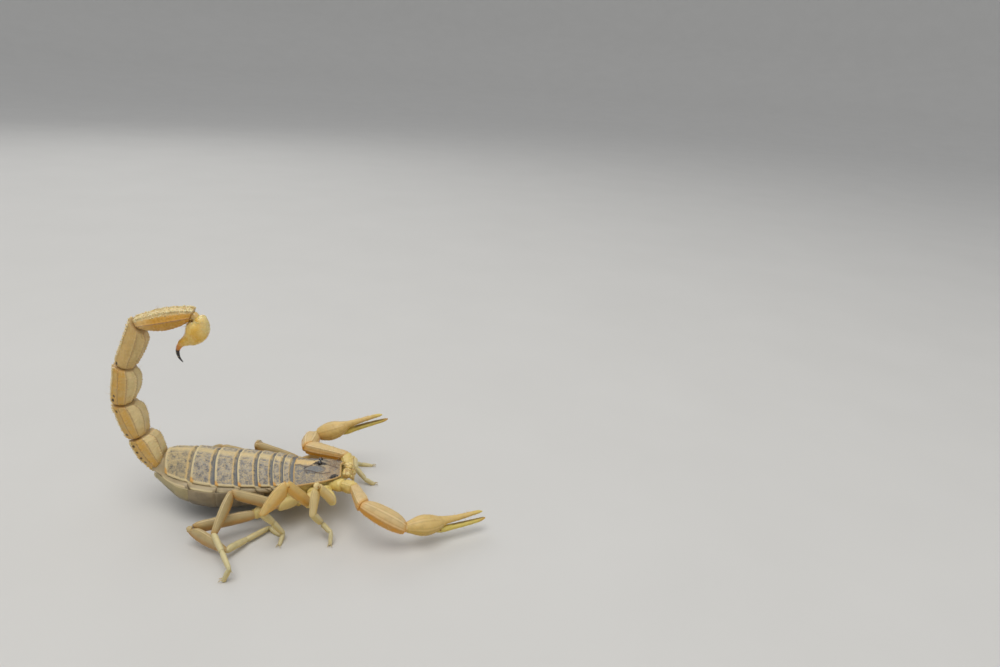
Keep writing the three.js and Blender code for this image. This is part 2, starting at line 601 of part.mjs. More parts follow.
// tail
const tailJoints = [vec(TAIL_ROOT)];
for (const { length, pitch } of TAIL) {
  tailJoints.push(tailJoints.at(-1).clone().add(
    vec(-Math.cos(rad(pitch)), 0, Math.sin(rad(pitch))).multiplyScalar(length)));
}
const tailLine = [vec(TAIL_ROOT[0] + 4, 0, TAIL_ROOT[2]), ...tailJoints,
  vec(TELSON[3][0], 0, TELSON[3][1])];
TAIL.forEach(({ wide, back, belly }, i) => {
  const sizes = TAIL_STEPS.map((share, k) => [share, wide[k], back[k], belly[k]]);
  const ahead = tailLine[i + 2].clone().sub(tailLine[i + 1]).normalize();
  const up = vec(0, 1, 0).cross(ahead);
  add(`metasoma_${i + 1}`, segment(tailLine, i + 1, sizes, { ring: keelRing(), up }), "straw");
});
const sting = limb(TELSON.map(([x, z, wide]) => ({ at: vec(x, 0, z), wide, up: wide })),
  { ring: evenRing(10, 2), up: vec(0, 1, 0) });
add("telson", sting, "amber");

// the whole animal is set over the origin, in the middle of its own box
group.updateMatrixWorld(true);
const box = new THREE.Box3().setFromObject(group);
const middle = box.getCenter(vec(0, 0, 0));
for (const mesh of group.children) mesh.geometry.translate(-middle.x, -middle.y, -box.min.z);

export default group;
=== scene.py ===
"""A life-size common yellow scorpion, tail arched over its back, as a still museum model.

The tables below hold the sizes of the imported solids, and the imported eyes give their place. Here
each part of the animal gets its final shape and finish: keeled and granulated plates, folded
flanks, ringed tail, claws and bristles. Shapes are worked out in body millimetres (head towards
+X) and set into the frame at the end.
"""
import math
import random

import bmesh
import bpy
from mathutils import Matrix, Vector, noise


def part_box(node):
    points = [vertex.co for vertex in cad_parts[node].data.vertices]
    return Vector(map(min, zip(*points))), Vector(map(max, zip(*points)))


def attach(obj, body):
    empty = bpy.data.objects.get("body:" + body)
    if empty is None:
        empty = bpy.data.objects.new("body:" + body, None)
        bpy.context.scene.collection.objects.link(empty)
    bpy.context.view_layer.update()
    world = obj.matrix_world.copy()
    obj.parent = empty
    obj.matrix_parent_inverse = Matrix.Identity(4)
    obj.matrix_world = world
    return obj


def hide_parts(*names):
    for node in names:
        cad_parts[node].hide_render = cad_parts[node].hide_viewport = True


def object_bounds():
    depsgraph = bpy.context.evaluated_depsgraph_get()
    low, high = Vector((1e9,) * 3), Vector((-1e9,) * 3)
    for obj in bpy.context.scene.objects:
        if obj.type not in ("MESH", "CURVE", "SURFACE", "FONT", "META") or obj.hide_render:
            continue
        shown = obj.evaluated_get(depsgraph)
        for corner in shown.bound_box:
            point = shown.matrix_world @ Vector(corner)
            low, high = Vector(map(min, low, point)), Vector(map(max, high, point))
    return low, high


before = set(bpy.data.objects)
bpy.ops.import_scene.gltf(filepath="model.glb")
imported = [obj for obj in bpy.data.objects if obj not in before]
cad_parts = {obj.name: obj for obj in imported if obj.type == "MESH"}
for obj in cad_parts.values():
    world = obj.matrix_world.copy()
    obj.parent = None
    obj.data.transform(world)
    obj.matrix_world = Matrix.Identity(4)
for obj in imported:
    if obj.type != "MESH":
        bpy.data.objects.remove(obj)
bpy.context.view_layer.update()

MM = 0.001
UP = Vector((0, 0, 1))


def centre(node):
    low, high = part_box(node)
    return (low + high) / 2


# the body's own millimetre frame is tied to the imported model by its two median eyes
EYES = Vector((-3.15, 0, 7.98))
SHIFT = (centre("eye_left") + centre("eye_right")) / 2 - EYES * MM
TO_FRAME = Matrix.Translation(SHIFT) @ Matrix.Scale(MM, 4)


# ---- camera, light and floor ----

def place_camera():
    """A wide lens close to the right side, looking a little down, with a slight roll."""
    azimuth, elevation, roll = (math.radians(a) for a in (-4.7, 20.7, 4.3))
    flat = math.cos(elevation)
    back = Vector((math.sin(azimuth) * flat, -math.cos(azimuth) * flat, math.sin(elevation)))
    right = Vector((math.cos(azimuth), math.sin(azimuth), 0))
    top = back.cross(right)
    across = math.cos(roll) * right + math.sin(roll) * top
    above = -math.sin(roll) * right + math.cos(roll) * top
    camera = bpy.data.objects.new("camera", bpy.data.cameras.new("camera"))
    camera.data.sensor_width = 36
    camera.data.lens = 25.2
    camera.data.clip_start = 0.001
    turn = Matrix((across, above, back)).transposed().to_4x4()
    camera.matrix_world = Matrix.Translation(TO_FRAME @ Vector((14.8, -92.7, 65.0))) @ turn
    bpy.context.scene.collection.objects.link(camera)
    bpy.context.scene.camera = camera


def area_light(name, place, size, power, tint=(1, 1, 1)):
    lamp = bpy.data.objects.new(name, bpy.data.lights.new(name, "AREA"))
    lamp.data.shape = "DISK"
    lamp.data.size = size
    lamp.data.energy = power
    lamp.data.color = tint
    lamp.location = place
    lamp.rotation_mode = "QUATERNION"
    lamp.rotation_quaternion = (Vector((0, 0, 0.012)) - Vector(place)).to_track_quat("-Z", "Y")
    bpy.context.scene.collection.objects.link(lamp)


def light_studio():
    scene = bpy.context.scene
    scene.view_settings.view_transform = "Standard"
    world = bpy.data.worlds.new("studio")
    world.use_nodes = True
    sky = world.node_tree.nodes["Background"]
    sky.inputs["Color"].default_value = (0.93, 0.95, 1.0, 1)
    sky.inputs["Strength"].default_value = 0.55
    scene.world = world
    area_light("overhead", (-0.05, -0.1, 0.45), 0.35, 1.0, (1.0, 0.98, 0.95))
    area_light("side", (0.3, -0.35, 0.22), 0.3, 0.22, (1.0, 0.97, 0.92))
    area_light("rear", (-0.2, 0.35, 0.3), 0.3, 0.3)


# ---- finishes ----

def hue(red, green, blue):
    """A paint mix given in screen steps of 0 to 255, as the shader's linear colour."""
    return tuple((c / 255) ** 2.2 for c in (red, green, blue)) + (1,)


def dim(paint, share):
    """A darker mix of the same paint."""
    return tuple(share * c for c in paint)


class Wire:
    """A value or colour on its way through the nodes of a finish."""

    def __init__(self, look, socket):
        self.look = look
        self.socket = socket

    def __add__(self, other):
        return self.look.sum("ADD", self, other)

    def __sub__(self, other):
        return self.look.sum("SUBTRACT", self, other)

    def __rsub__(self, other):
        return self.look.sum("SUBTRACT", other, self)

    def __mul__(self, other):
        return self.look.sum("MULTIPLY", self, other)

    def __abs__(self):
        return self.look.sum("ABSOLUTE", self)

    __radd__ = __add__
    __rmul__ = __mul__

    def step(self, low, high):
        """0 below low, 1 above high, with a soft change between."""
        return self.look.node("ShaderNodeMapRange", {"interpolation_type": "SMOOTHSTEP"},
                              {"Value": self, "From Min": low, "From Max": high})

    def fall(self, low, high):
        """1 below low, 0 above high, with a soft change between."""
        return 1 - self.step(low, high)


class Look:
    """A finish: its node tree, and short ways to build it."""

    def __init__(self, name):
        self.material = bpy.data.materials.new(name)
        self.material.use_nodes = True
        self.tree = self.material.node_tree
        self.tree.nodes.clear()

    def node(self, kind, settings, inputs, output=0):
        made = self.tree.nodes.new(kind)
        for name, value in settings.items():
            setattr(made, name, value)
        for name, value in inputs.items():
            if isinstance(value, Wire):
                self.tree.links.new(value.socket, made.inputs[name])
            else:
                made.inputs[name].default_value = value
        return Wire(self, made.outputs[output]) if made.outputs else None

    def sum(self, operation, *values):
        return self.node("ShaderNodeMath", {"operation": operation}, dict(enumerate(values)))

    def value(self, name):
        """A value that the piece carries on its surface."""
        return self.node("ShaderNodeAttribute", {"attribute_name": name}, {}, "Fac")

    def place(self, per_mm=(1, 1, 1)):
        """Body coordinates, scaled to the given steps per millimetre."""
        seat = self.node("ShaderNodeTexCoord", {}, {}, "Object")
        scale = tuple(1000 * step for step in per_mm)
        return self.node("ShaderNodeMapping", {}, {"Vector": seat, "Scale": scale})

    def grain(self, size, detail=3.0, rough=0.55, stretch=(1, 1, 1)):
        """Cloudy noise with features of about the given size in millimetres."""
        return self.node("ShaderNodeTexNoise", {}, {
            "Vector": self.place(stretch), "Scale": 1 / size, "Detail": detail,
            "Roughness": rough})

    def cells(self, size):
        """Distance to the nearest of scattered points, size millimetres apart."""
        return self.node("ShaderNodeTexVoronoi", {}, {"Vector": self.place(), "Scale": 1 / size})

    def base(self, first, second, mask):
        """Starts the colour as a mix of two paints."""
        self.colour = self.blend(hue(*first), hue(*second), mask)

    def coat(self, paint, mask):
        """Lays another paint over the colour where the mask is high."""
        self.colour = self.blend(self.colour, hue(*paint), mask)

    def blend(self, below, above, mask):
        return self.node("ShaderNodeMix", {"data_type": "RGBA", "clamp_factor": True},
                         {0: mask, 6: below, 7: above}, 2)

    def shade(self, roughness, relief, depth, soft=0.12, gloss=0.45, coat=0.0):
        """The shader: relief is a height map, depth its swing in millimetres."""
        bump = self.node("ShaderNodeBump", {}, {"Height": relief, "Distance": depth * MM,
                                                 "Strength": 0.8})
        shell = self.node("ShaderNodeBsdfPrincipled", {}, {
            "Base Color": self.colour, "Roughness": roughness, "Normal": bump,
            "Subsurface Weight": soft, "Subsurface Radius": (1.0, 0.6, 0.3),
            "Subsurface Scale": 0.5 * MM, "Specular IOR Level": gloss,
            "Coat Weight": coat, "Coat Roughness": 0.2})
        self.node("ShaderNodeOutputMaterial", {}, {"Surface": shell})
        return self.material


def back_plate_finish(name, warm):
    """Granulated shell: a smooth blue-grey front band, a pale wavering line behind it, mottled
    grey with a net of straw, and a pale, broken rear edge with small ochre corners."""
    look = Look(name)
    reach, lane = look.value("reach"), abs(look.value("flank"))
    keel, bead = look.value("keel"), look.value("spot")
    cloud, fleck = look.grain(0.9), look.grain(0.2, 4, 0.62)
    vein = 1 - abs(look.grain(0.45, 2, 0.5) - 0.5).step(0.01, 0.06)
    blotch = look.grain(0.55, 3, 0.6)
    grey, sand = ((146, 136, 116), (182, 164, 126)) if warm else \
        ((128, 126, 124), (170, 160, 142))
    look.base(grey, sand, (blotch + 0.3 * cloud - 0.15).step(0.42, 0.6))
    look.coat((92, 90, 88), blotch.fall(0.34, 0.46) * 0.6)
    look.coat((206, 182, 134), vein * (0.2 + 0.6 * cloud))
    look.coat((212, 188, 138), (fleck + 0.3 * cloud).step(0.68, 0.8) * 0.6)
    look.coat((84, 80, 78), fleck.fall(0.32, 0.42) * 0.4)
    middle = lane.fall(0.03, 0.24) * (0.25 + fleck + 0.5 * cloud).step(0.45, 0.85)
    look.coat((226, 202, 148), middle * 0.8)
    look.coat((196, 184, 158), bead * 0.35)
    look.coat((212, 190, 142), keel.step(0.25, 0.8) * 0.5)
    front = 1 - (reach + 0.1 * cloud + 0.06 * fleck).step(0.2, 0.3)
    look.coat((104, 109, 114), front * (0.62 + 0.5 * fleck - 0.4 * warm))
    ridge = bell_mask(abs(reach + 0.12 * cloud - 0.3), 0.03) * (0.3 + 1.2 * fleck)
    look.coat((216, 184, 124), ridge * 0.85)
    edge = (reach + 0.16 * fleck).step(0.96, 1.02) + (lane + 0.04 * fleck).step(0.97, 1.0)
    look.coat((222, 202, 154), edge * 0.85)
    corner = (look.value("soft") + 0.3 * fleck).step(0.5, 0.9)
    look.coat((216, 156, 66), corner * 0.8)
    relief = fleck + 0.6 * look.grain(0.08, 2)
    return look.shade(0.44 + 0.2 * fleck, relief, 0.05, soft=0.06, gloss=0.42)


def head_plate_finish():
    """Grey shell with brown keels, smooth patches beside the eyes, a straw band behind them,
    pale and brown mottling in front and an ochre edge."""
    look = Look("carapace_shell")
    reach, lane = look.value("reach"), abs(look.value("flank"))
    keel, bead, dark = look.value("keel"), look.value("spot"), look.value("soft")
    cloud, fleck = look.grain(0.8), look.grain(0.18, 4, 0.62)
    vein = 1 - abs(look.grain(0.4, 2, 0.5) - 0.5).step(0.01, 0.07)
    look.base((122, 120, 118), (168, 154, 130), (cloud - 0.35 * reach).step(0.1, 0.6))
    look.coat((200, 176, 126), vein * 0.5)
    look.coat((206, 184, 136), (fleck + 0.3 * cloud).step(0.66, 0.8) * 0.6)
    look.coat((70, 62, 56), fleck.fall(0.3, 0.42) * 0.5)
    across, along = lane - 0.42, reach - 0.56
    away = abs(across) * abs(across) * 26 + along * along * 22 + 0.9 * cloud + 0.9 * fleck - 0.9
    look.coat((116, 119, 122), away.fall(0.5, 1.0) * 0.8)
    rim = bell_mask(abs(away - 1.0), 0.16) * fleck.step(0.35, 0.6)
    look.coat((58, 50, 46), rim * 0.85)
    look.coat((108, 76, 48), reach.fall(0.24, 0.42) * fleck.step(0.4, 0.56) * 0.75)
    pale = reach.fall(0.3, 0.45) * lane.step(0.2, 0.4) * (fleck + 0.3 * cloud).step(0.6, 0.8)
    look.coat((206, 178, 140), pale * 0.7)
    band = (lane + 0.3 * fleck + 0.2 * cloud).fall(0.36, 0.5) * reach.step(0.5, 0.6)
    look.coat((228, 194, 132), band * (0.35 + fleck))
    look.coat((186, 170, 136), bead * 0.35)
    look.coat((84, 66, 52), keel.step(0.35, 0.8) * 0.6)
    look.coat((40, 38, 40), (dark + 0.3 * fleck - 0.15).step(0.35, 0.7) * 0.9)
    edge = lane.step(0.95, 0.985) + reach.fall(0.01, 0.05) + reach.step(0.965, 0.99)
    look.coat((208, 168, 98), edge * (0.4 + 0.8 * fleck))
    relief = fleck + 0.6 * look.grain(0.08, 2)
    return look.shade(0.42 + 0.2 * fleck, relief, 0.05, soft=0.06, gloss=0.45)


def bell_mask(distance, width):
    """1 where the distance is nothing, 0 beyond twice the width."""
    return distance.fall(0.3 * width, 2 * width)


def skin_finish(name, light, shaded_underside, spread):
    """Satin, finely wrinkled skin of the flanks and belly plates, with painted shade underneath and in
    the creases.
    """
    look = Look(name)
    height = look.value("back")
    cloud = look.grain(1.6, 3, 0.5)
    wrinkle = look.grain(0.12, 3, 0.6, (1, 1, 0.35))
    pore = look.cells(0.16)
    # painted shade: the skin goes from its light paint on the upper flank to a darker copy underneath
    look.base(shaded_underside, light, (height + 0.35 * cloud).step(*spread))
    look.coat(dim(shaded_underside, 0.92), cloud.fall(0.3, 0.6) * 0.3)
    look.coat((216, 198, 152), look.value("keel").step(0.3, 0.9) * 0.75)
    # painted shade: darker in the pleat creases of the flanks and at the front of each belly plate,
    # under the plate ahead
    look.coat((84, 72, 56), look.value("soft").step(0.3, 0.95) * 0.8)
    look.coat((40, 30, 24), look.value("spot").step(0.4, 0.6))
    relief = wrinkle + 0.3 * pore
    return look.shade(0.34 + 0.14 * wrinkle, relief, 0.02, soft=0.15, gloss=0.5)


def limb_finish(name, top, under, line, tip=None, turn=(-0.3, 0.4), joint_tint=0.0,
                bite_teeth_and_shade=None):
    """Translucent shell of an arm or leg: one colour on top, another below, and between them
    pale keels with painted shade in the groove at their foot."""
    look = Look(name)
    height, reach, keel = look.value("back"), look.value("reach"), look.value("keel")
    cloud, fleck = look.grain(1.1), look.grain(0.16, 3, 0.6)
    look.base(under, top, (height + 0.3 * cloud - 0.15).step(*turn))
    look.coat(dim(top, 0.84), cloud.fall(0.3, 0.55) * 0.35)
    # painted shade in the groove at the foot of each keel
    furrow_shade = keel.step(0.02, 0.25) * keel.fall(0.3, 0.7)
    look.coat(dim(top, 0.78), furrow_shade * (0.1 + 0.4 * fleck))
    look.coat(line, keel.step(0.5, 0.95) * 0.6)
    look.coat(dim(under, 0.8), fleck.step(0.64, 0.78) * 0.3)
    ends = reach.fall(0.0, 0.12) + reach.step(0.86, 1.0)
    look.coat(under, ends * joint_tint)
    if tip:
        look.coat(tip, reach.step(0.8, 1.0) * 0.85)
    if bite_teeth_and_shade:
        side, start = bite_teeth_and_shade
        # dark inner edge of each finger: partly its teeth, partly painted shade between the closed
        # fingers
        inner = (side * height).step(0.62, 0.95) * reach.step(start, start + 0.08)
        look.coat((112, 78, 40), inner * 0.75)
    look.coat((222, 200, 124), look.value("soft") * 0.85)
    look.coat((150, 92, 40), look.value("spot").step(0.4, 0.8) * 0.8)
    relief = fleck + 0.5 * look.grain(0.07, 2)
    return look.shade(0.32 + 0.16 * fleck, relief, 0.02, soft=0.12, gloss=0.5)


def tail_finish(name, top, under, line, turn):
    """Pale horn, gold or crusted below, with a thin dark line along each side keel and a few
    black-brown spots underneath."""
    look = Look(name)
    height, reach = look.value("back"), look.value("reach")
    keel = look.value("keel")
    cloud, fleck = look.grain(1.0), look.grain(0.16, 4, 0.6)
    look.base(under, top, (height + 0.2 * cloud - 0.1).step(*turn))
    look.coat(dim(top, 0.88), cloud.fall(0.35, 0.6) * 0.4)
    look.coat((222, 202, 158), (fleck + 0.3 * cloud).step(0.7, 0.85) * 0.5)
    base = 1 - (reach + 0.2 * cloud).step(0.15, 0.5)
    look.coat(under, base * 0.45)
    crest = keel.step(0.66, 0.94) * height.step(-0.6, -0.2)
    look.coat(line, crest * (0.25 + 0.9 * fleck) * 0.8)
    low_crest = keel.step(0.4, 0.9) * height.fall(-0.75, -0.5)
    look.coat((226, 206, 156), low_crest * 0.6)
    blot = (look.value("spot") + 0.5 * fleck - 0.25).step(0.4, 0.62)
    look.coat((58, 44, 38), blot * 0.88)
    ends = reach.fall(0.0, 0.05) + reach.step(0.965, 0.99)
    look.coat((150, 120, 92), ends * 0.4)
    look.coat((176, 142, 92), look.value("soft") * 0.8)
    relief = fleck + 0.5 * look.grain(0.07, 2)
    return look.shade(0.36 + 0.2 * fleck, relief, 0.03, soft=0.2, gloss=0.42)


def sting_finish():
    """Glossy yellow bulb, granular and cream at its neck, with an amber and black sting."""
    look = Look("sting_horn")
    reach, grain = look.value("reach"), look.value("flank")
    cloud, fleck = look.grain(1.2), look.grain(0.18, 3, 0.6)
    look.base((220, 170, 56), (234, 198, 104), cloud.step(0.3, 0.7))
    look.coat((236, 214, 150), grain * reach.fall(0.12, 0.3) * 0.8)
    look.coat((196, 140, 58), fleck.fall(0.26, 0.4) * 0.3)
    look.coat((202, 124, 46), reach.step(0.58, 0.7) * 0.9)
    look.coat((26, 16, 16), reach.step(0.73, 0.78))
    look.coat((214, 182, 120), look.value("soft") * 0.8)
    return look.shade(0.22 + 0.1 * fleck, fleck, 0.012, soft=0.35, gloss=0.6, coat=0.25)


def jaw_finish():
    """Pale yellow jaws with a faint net of brown and a granular skin."""
    look = Look("jaw_shell")
    fleck = look.grain(0.2, 3, 0.6)
    net = look.cells(0.45)
    look.base((234, 212, 148), (218, 188, 112), look.grain(0.7).step(0.35, 0.65))
    look.coat((150, 112, 60), net.step(0.46, 0.66) * 0.55)
    look.coat((104, 58, 32), look.value("spot").step(0.3, 0.8) * 0.85)
    return look.shade(0.34 + 0.2 * fleck, fleck + net, 0.04, soft=0.25)


def eye_finish():
    look = Look("eye_gloss")
    cloud = look.grain(0.4)
    look.base((12, 10, 12), (34, 24, 20), cloud.step(0.4, 0.8))
    return look.shade(0.06 + 0.04 * cloud, cloud, 0.002, soft=0.0, gloss=0.7, coat=0.6)


def bead_finish():
    """The pale granules that stand along the keels."""
    look = Look("granules")
    cloud = look.grain(0.5)
    look.base((214, 186, 128), (238, 222, 176), cloud.step(0.35, 0.65))
    return look.shade(0.35 + 0.2 * cloud, cloud, 0.01, soft=0.2)


def bristle_finish():
    look = Look("bristles")
    cloud = look.grain(0.5)
    look.base((196, 160, 104), (232, 214, 170), cloud.step(0.35, 0.65))
    return look.shade(0.35 + 0.1 * cloud, cloud, 0.002, soft=0.2)


# ---- shape helpers ----

VALUES = ("reach", "back", "flank", "keel", "soft", "spot")


def smooth(low, high, value):
    """0 below low, 1 above high, with a soft change between."""
    share = min(max((value - low) / (high - low), 0.0), 1.0)
    return share * share * (3 - 2 * share)


def bell(value, width):
    return math.exp(-((value / width) ** 2))


def read(table, x):
    """The sizes of a table [x, size, size ...] at x, on a smooth curve through its rows."""
    rows = table if table[0][0] < table[-1][0] else table[::-1]
    x = min(max(x, rows[0][0]), rows[-1][0])
    i = next(k for k in range(len(rows) - 1) if x <= rows[k + 1][0])
    a, b = rows[i], rows[i + 1]
    before, after = rows[max(i - 1, 0)], rows[min(i + 2, len(rows) - 1)]
    span = b[0] - a[0]
    t = (x - a[0]) / span
    sizes = []
    for k in range(1, len(a)):
        leave = (b[k] - before[k]) / (b[0] - before[0]) * span
        arrive = (after[k] - a[k]) / (after[0] - a[0]) * span
        rise = b[k] - a[k]
        curve = (3 * rise - 2 * leave - arrive) + (leave + arrive - 2 * rise) * t
        sizes.append(a[k] + t * (leave + t * curve))
    return sizes


def stride(length, yaw, pitch):
    """A step of the given length, in degrees of yaw and pitch."""
    yaw, pitch = math.radians(yaw), math.radians(pitch)
    flat = math.cos(pitch)
    return Vector((flat * math.cos(yaw), flat * math.sin(yaw), math.sin(pitch))) * length


def mirrored(point, side):
    return Vector((point[0], side * point[1], point[2]))


def heading(joints, i):
    return (joints[i + 1] - joints[i]).normalized()


def bend(joints, i):
    """A joint, and the ways into it and out of it."""
    return joints[i], heading(joints, i - 1), heading(joints, i)


TILT_LIMIT = math.radians(35)  # how far the end of a limb segment is mitred
DOME_STEPS = 5  # rings of faces in a limb's rounded end


def mitre(own, other, half_size):
    """The plane and the set-back where a segment heading one way meets its neighbour."""
    bend = own.angle(other)
    tilt = min(bend / 2, TILT_LIMIT)
    aside = other - own * own.dot(other)
    if aside.length < 1e-6:
        return own.copy(), 0.0
    plane = own * math.cos(tilt) + aside.normalized() * math.sin(tilt)
    return plane, half_size * (math.tan(bend / 2) - math.tan(tilt))


def limb_stops(run, caps, rows):
    """Distances along a limb and its swell at each, with a rounded end at either side."""
    turns = [k / DOME_STEPS * math.pi / 2 for k in range(DOME_STEPS)]
    first, last = ([(cap * (1 - math.cos(a)), math.sin(a)) for a in turns] for cap in caps)
    body = run - caps[0] - caps[1]
    stops = first + [(caps[0] + body * k / rows, 1.0) for k in range(rows + 1)]
    return stops + [(run - distance, swell) for distance, swell in reversed(last)]


def limb_ring(sides, power, keels):
    """Angle, place across and above, and nearness of each keel, for the spots round a limb."""
    ring = []
    for j in range(sides + 1):
        angle = 2 * math.pi * (j % sides) / sides + math.pi
        spot = [math.copysign(abs(f(angle)) ** (2 / power), f(angle)) for f in (math.sin, math.cos)]
        near = []
        for keel in keels:
            off = abs(math.degrees(angle) % 360 - keel[0] % 360)
            near.append(bell(min(off, 360 - off), keel[2]))
        ring.append((angle, *spot, near))
    return ring


class Piece:
    """A mesh in the making, with the named values that its finish reads."""

    def __init__(self, name, seed=1):
        self.name = name
        self.bm = bmesh.new()
        self.values = {n: self.bm.verts.layers.float.new(n) for n in VALUES}
        self.random = random.Random(seed)

    def paint(self, vert, **values):
        for name, value in values.items():
            vert[self.values[name]] = value

    def sheet(self, columns, rows, place):
        """A grid of columns by rows, each vertex set by place(u, v) -> point, values.

        Returns its faces, and its points and values row by row.
        """
        made = bmesh.ops.create_grid(self.bm, x_segments=columns, y_segments=rows, size=0.5)
        faces = list({face for vert in made["verts"] for face in vert.link_faces})
        spots = []
        for vert in made["verts"]:
            point, values = place(vert.co.x + 0.5, vert.co.y + 0.5)
            vert.co = point
            self.paint(vert, **values)
            spots.append((point, values))
        return faces, spots

    def shell(self, columns, rows, place, thick):
        """A sheet given a thickness on its inner side, with a rounded rim."""
        faces, _ = self.sheet(columns, rows, place)
        made = bmesh.ops.solidify(self.bm, geom=faces, thickness=thick)
        rim = [e for e in made["geom"] if isinstance(e, bmesh.types.BMEdge)
               and e.is_manifold and e.calc_face_angle() > 1.0]
        bmesh.ops.bevel(self.bm, geom=rim, offset=thick * 0.22, segments=2, profile=0.5,
                        affect="EDGES", material=-1)

    def limb(self, stations, sides=28, rows=30, up=UP, power=2.3, caps=(0.3, 0.3), start=None,
             end=None, keels=(), hollow=0.0, rough=0.0, floor=None, marks=(), **values):
        """A closed limb through stations (point, half width, half height, half depth).

        caps are the lengths of its rounded ends. start and end are planes that the ends lean
        to. keels are (degrees from the top, lift, width in degrees, beads, first, last), and
        marks are dark spots at (share of the length, degrees from the top).
        """
        table, run = [], 0.0
        for i, (at, wide, high, *low) in enumerate(stations):
            run += (at - stations[i - 1][0]).length if i else 0.0
            table.append([run, *at, wide, high, low[0] if low else high])
        stops = limb_stops(run, caps, rows)
        ring = limb_ring(sides, power, keels)
        frames = []
        for distance, swell in stops:
            here = read(table, distance)
            ahead = Vector(read(table, distance + 0.05)[:3]) - Vector(read(table, distance - 0.05)[:3])
            ahead.normalize()
            side = ahead.cross(up).normalized()
            share = distance / run
            lifts = []
            for _, lift, _, beads, first, last in keels:
                body = smooth(first - 0.08, first + 0.04, share)
                body *= 1 - smooth(last - 0.02, last + 0.03, share)
                lifts.append(lift * body * (0.72 + 0.28 * math.cos(2 * math.pi * beads * share)))
            frames.append((Vector(here[:3]), here[3:], ahead, side, side.cross(ahead), share,
                           swell, lifts))

        def place(u, v):
            at, (wide, high, low), ahead, side, rise, share, swell, lifts = \
                frames[round(v * (len(stops) - 1))]
            angle, across, above, near = ring[round(u * sides)]
            outward = side * (across * wide) + rise * (above * (high if above > 0 else low))
            crest = max((n for n, k in zip(near, lifts) if k > 0), default=0.0)
            lift = sum(n * k for n, k in zip(near, lifts)) - hollow * (1 - crest)
            if rough:
                lift += rough * noise.noise((at + outward) * 3.1)
            point = at + (outward + outward.normalized() * lift) * swell
            for cut, weight in ((start, 1 - smooth(0, 0.3, share)), (end, smooth(0.7, 1, share))):
                if cut is not None and weight > 0:
                    point = point - ahead * ((point - at).dot(cut) / ahead.dot(cut) * weight)
            if floor is not None:
                point.z = max(point.z, floor)
            point_values = {"reach": share, "back": math.cos(angle), "flank": abs(math.sin(angle)),
                            "keel": crest * swell, **values}
            if marks:
                around = math.degrees(math.acos(max(-1.0, min(1.0, math.cos(angle)))))
                point_values["spot"] = max(bell(share - s, 0.045) * bell(around - a, 8)
                                           for s, a in marks)
            return point, point_values

        return self.sheet(sides, len(stops) - 1, place)[1]

    def lump(self, places, side=1, **options):
        """A limb through places (x, y, z, half width, half height), on the given side."""
        return self.limb([(mirrored(at, side), *at[3:]) for at in places], **options)

    def segment(self, joints, i, sizes, ease=0.0, **options):
        """A straight limb from joints[i] to joints[i + 1]; sizes are (share, wide, high)."""
        heads = [heading(joints, k) for k in range(len(joints) - 1)]
        start, end = joints[i].copy(), joints[i + 1].copy()
        cuts = {}
        if i > 0:
            cuts["start"], back = mitre(heads[i], heads[i - 1], sizes[0][2])
            start += heads[i] * (back - ease)
        if i + 2 < len(joints):
            cuts["end"], back = mitre(heads[i], heads[i + 1], sizes[-1][2])
            end -= heads[i] * (back - ease)
        stations = [(start.lerp(end, s), wide, high) for s, wide, high in sizes]
        return self.limb(stations, **{**cuts, **options})

    def neck(self, joint, before, after, wide, high, reach=0.55, up=UP, floor=None, soft=1.0):
        """The soft skin that joins two segments, bent round their joint."""
        stations = [(joint - before * reach, wide, high), (joint, wide, high),
                    (joint + after * reach, wide, high)]
        self.limb(stations, sides=20, rows=8, up=up, power=2.0, caps=(0.1, 0.1), soft=soft,
                  rough=0.04, floor=floor)

    def bead(self, at, size, flat=0.7, along=UP, faces=1, **values):
        turn = along.to_track_quat("Z", "Y").to_matrix().to_4x4()
        seat = Matrix.Translation(at) @ turn @ Matrix.Diagonal((size, size, size * flat, 1))
        made = bmesh.ops.create_icosphere(self.bm, subdivisions=faces, radius=1, matrix=seat)
        for vert in made["verts"]:
            self.paint(vert, **values)

    def spike(self, root, tip, thick, sides=6, **values):
        """A tapered point from root to tip."""
        line = tip - root
        turn = line.to_track_quat("Z", "Y").to_matrix().to_4x4()
        seat = Matrix.Translation((root + tip) / 2) @ turn
        made = bmesh.ops.create_cone(self.bm, cap_ends=True, cap_tris=True, segments=sides,
                                     radius1=thick, radius2=thick * 0.08, depth=line.length,
                                     matrix=seat)
        for vert in made["verts"]:
            self.paint(vert, **values)

    def done(self, finish, slot, *nodes):
        """Closes seams and poles, faces outwards, and sets the mesh into the frame."""
        bmesh.ops.remove_doubles(self.bm, verts=self.bm.verts, dist=1e-4)
        bmesh.ops.recalc_face_normals(self.bm, faces=self.bm.faces)
        bmesh.ops.transform(self.bm, matrix=TO_FRAME, verts=self.bm.verts)
        for face in self.bm.faces:
            face.smooth = True
        mesh = bpy.data.meshes.new(self.name)
        self.bm.to_mesh(mesh)
        self.bm.free()
        mesh.materials.append(finish)
        piece = bpy.data.objects.new(self.name, mesh)
        bpy.context.scene.collection.objects.link(piece)
        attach(piece, "root")
        if nodes:
            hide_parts(*nodes)
        return piece


def granule(point, spacing, seed=0.0):
    """Rounded grains, about spacing apart: 1 on the middle of a grain, 0 between."""
    distances, _ = noise.voronoi((point + Vector((seed, seed, seed))) / spacing)
    return max(0.0, 1 - distances[0] / 0.42) ** 0.8


# ---- back, head and belly ----

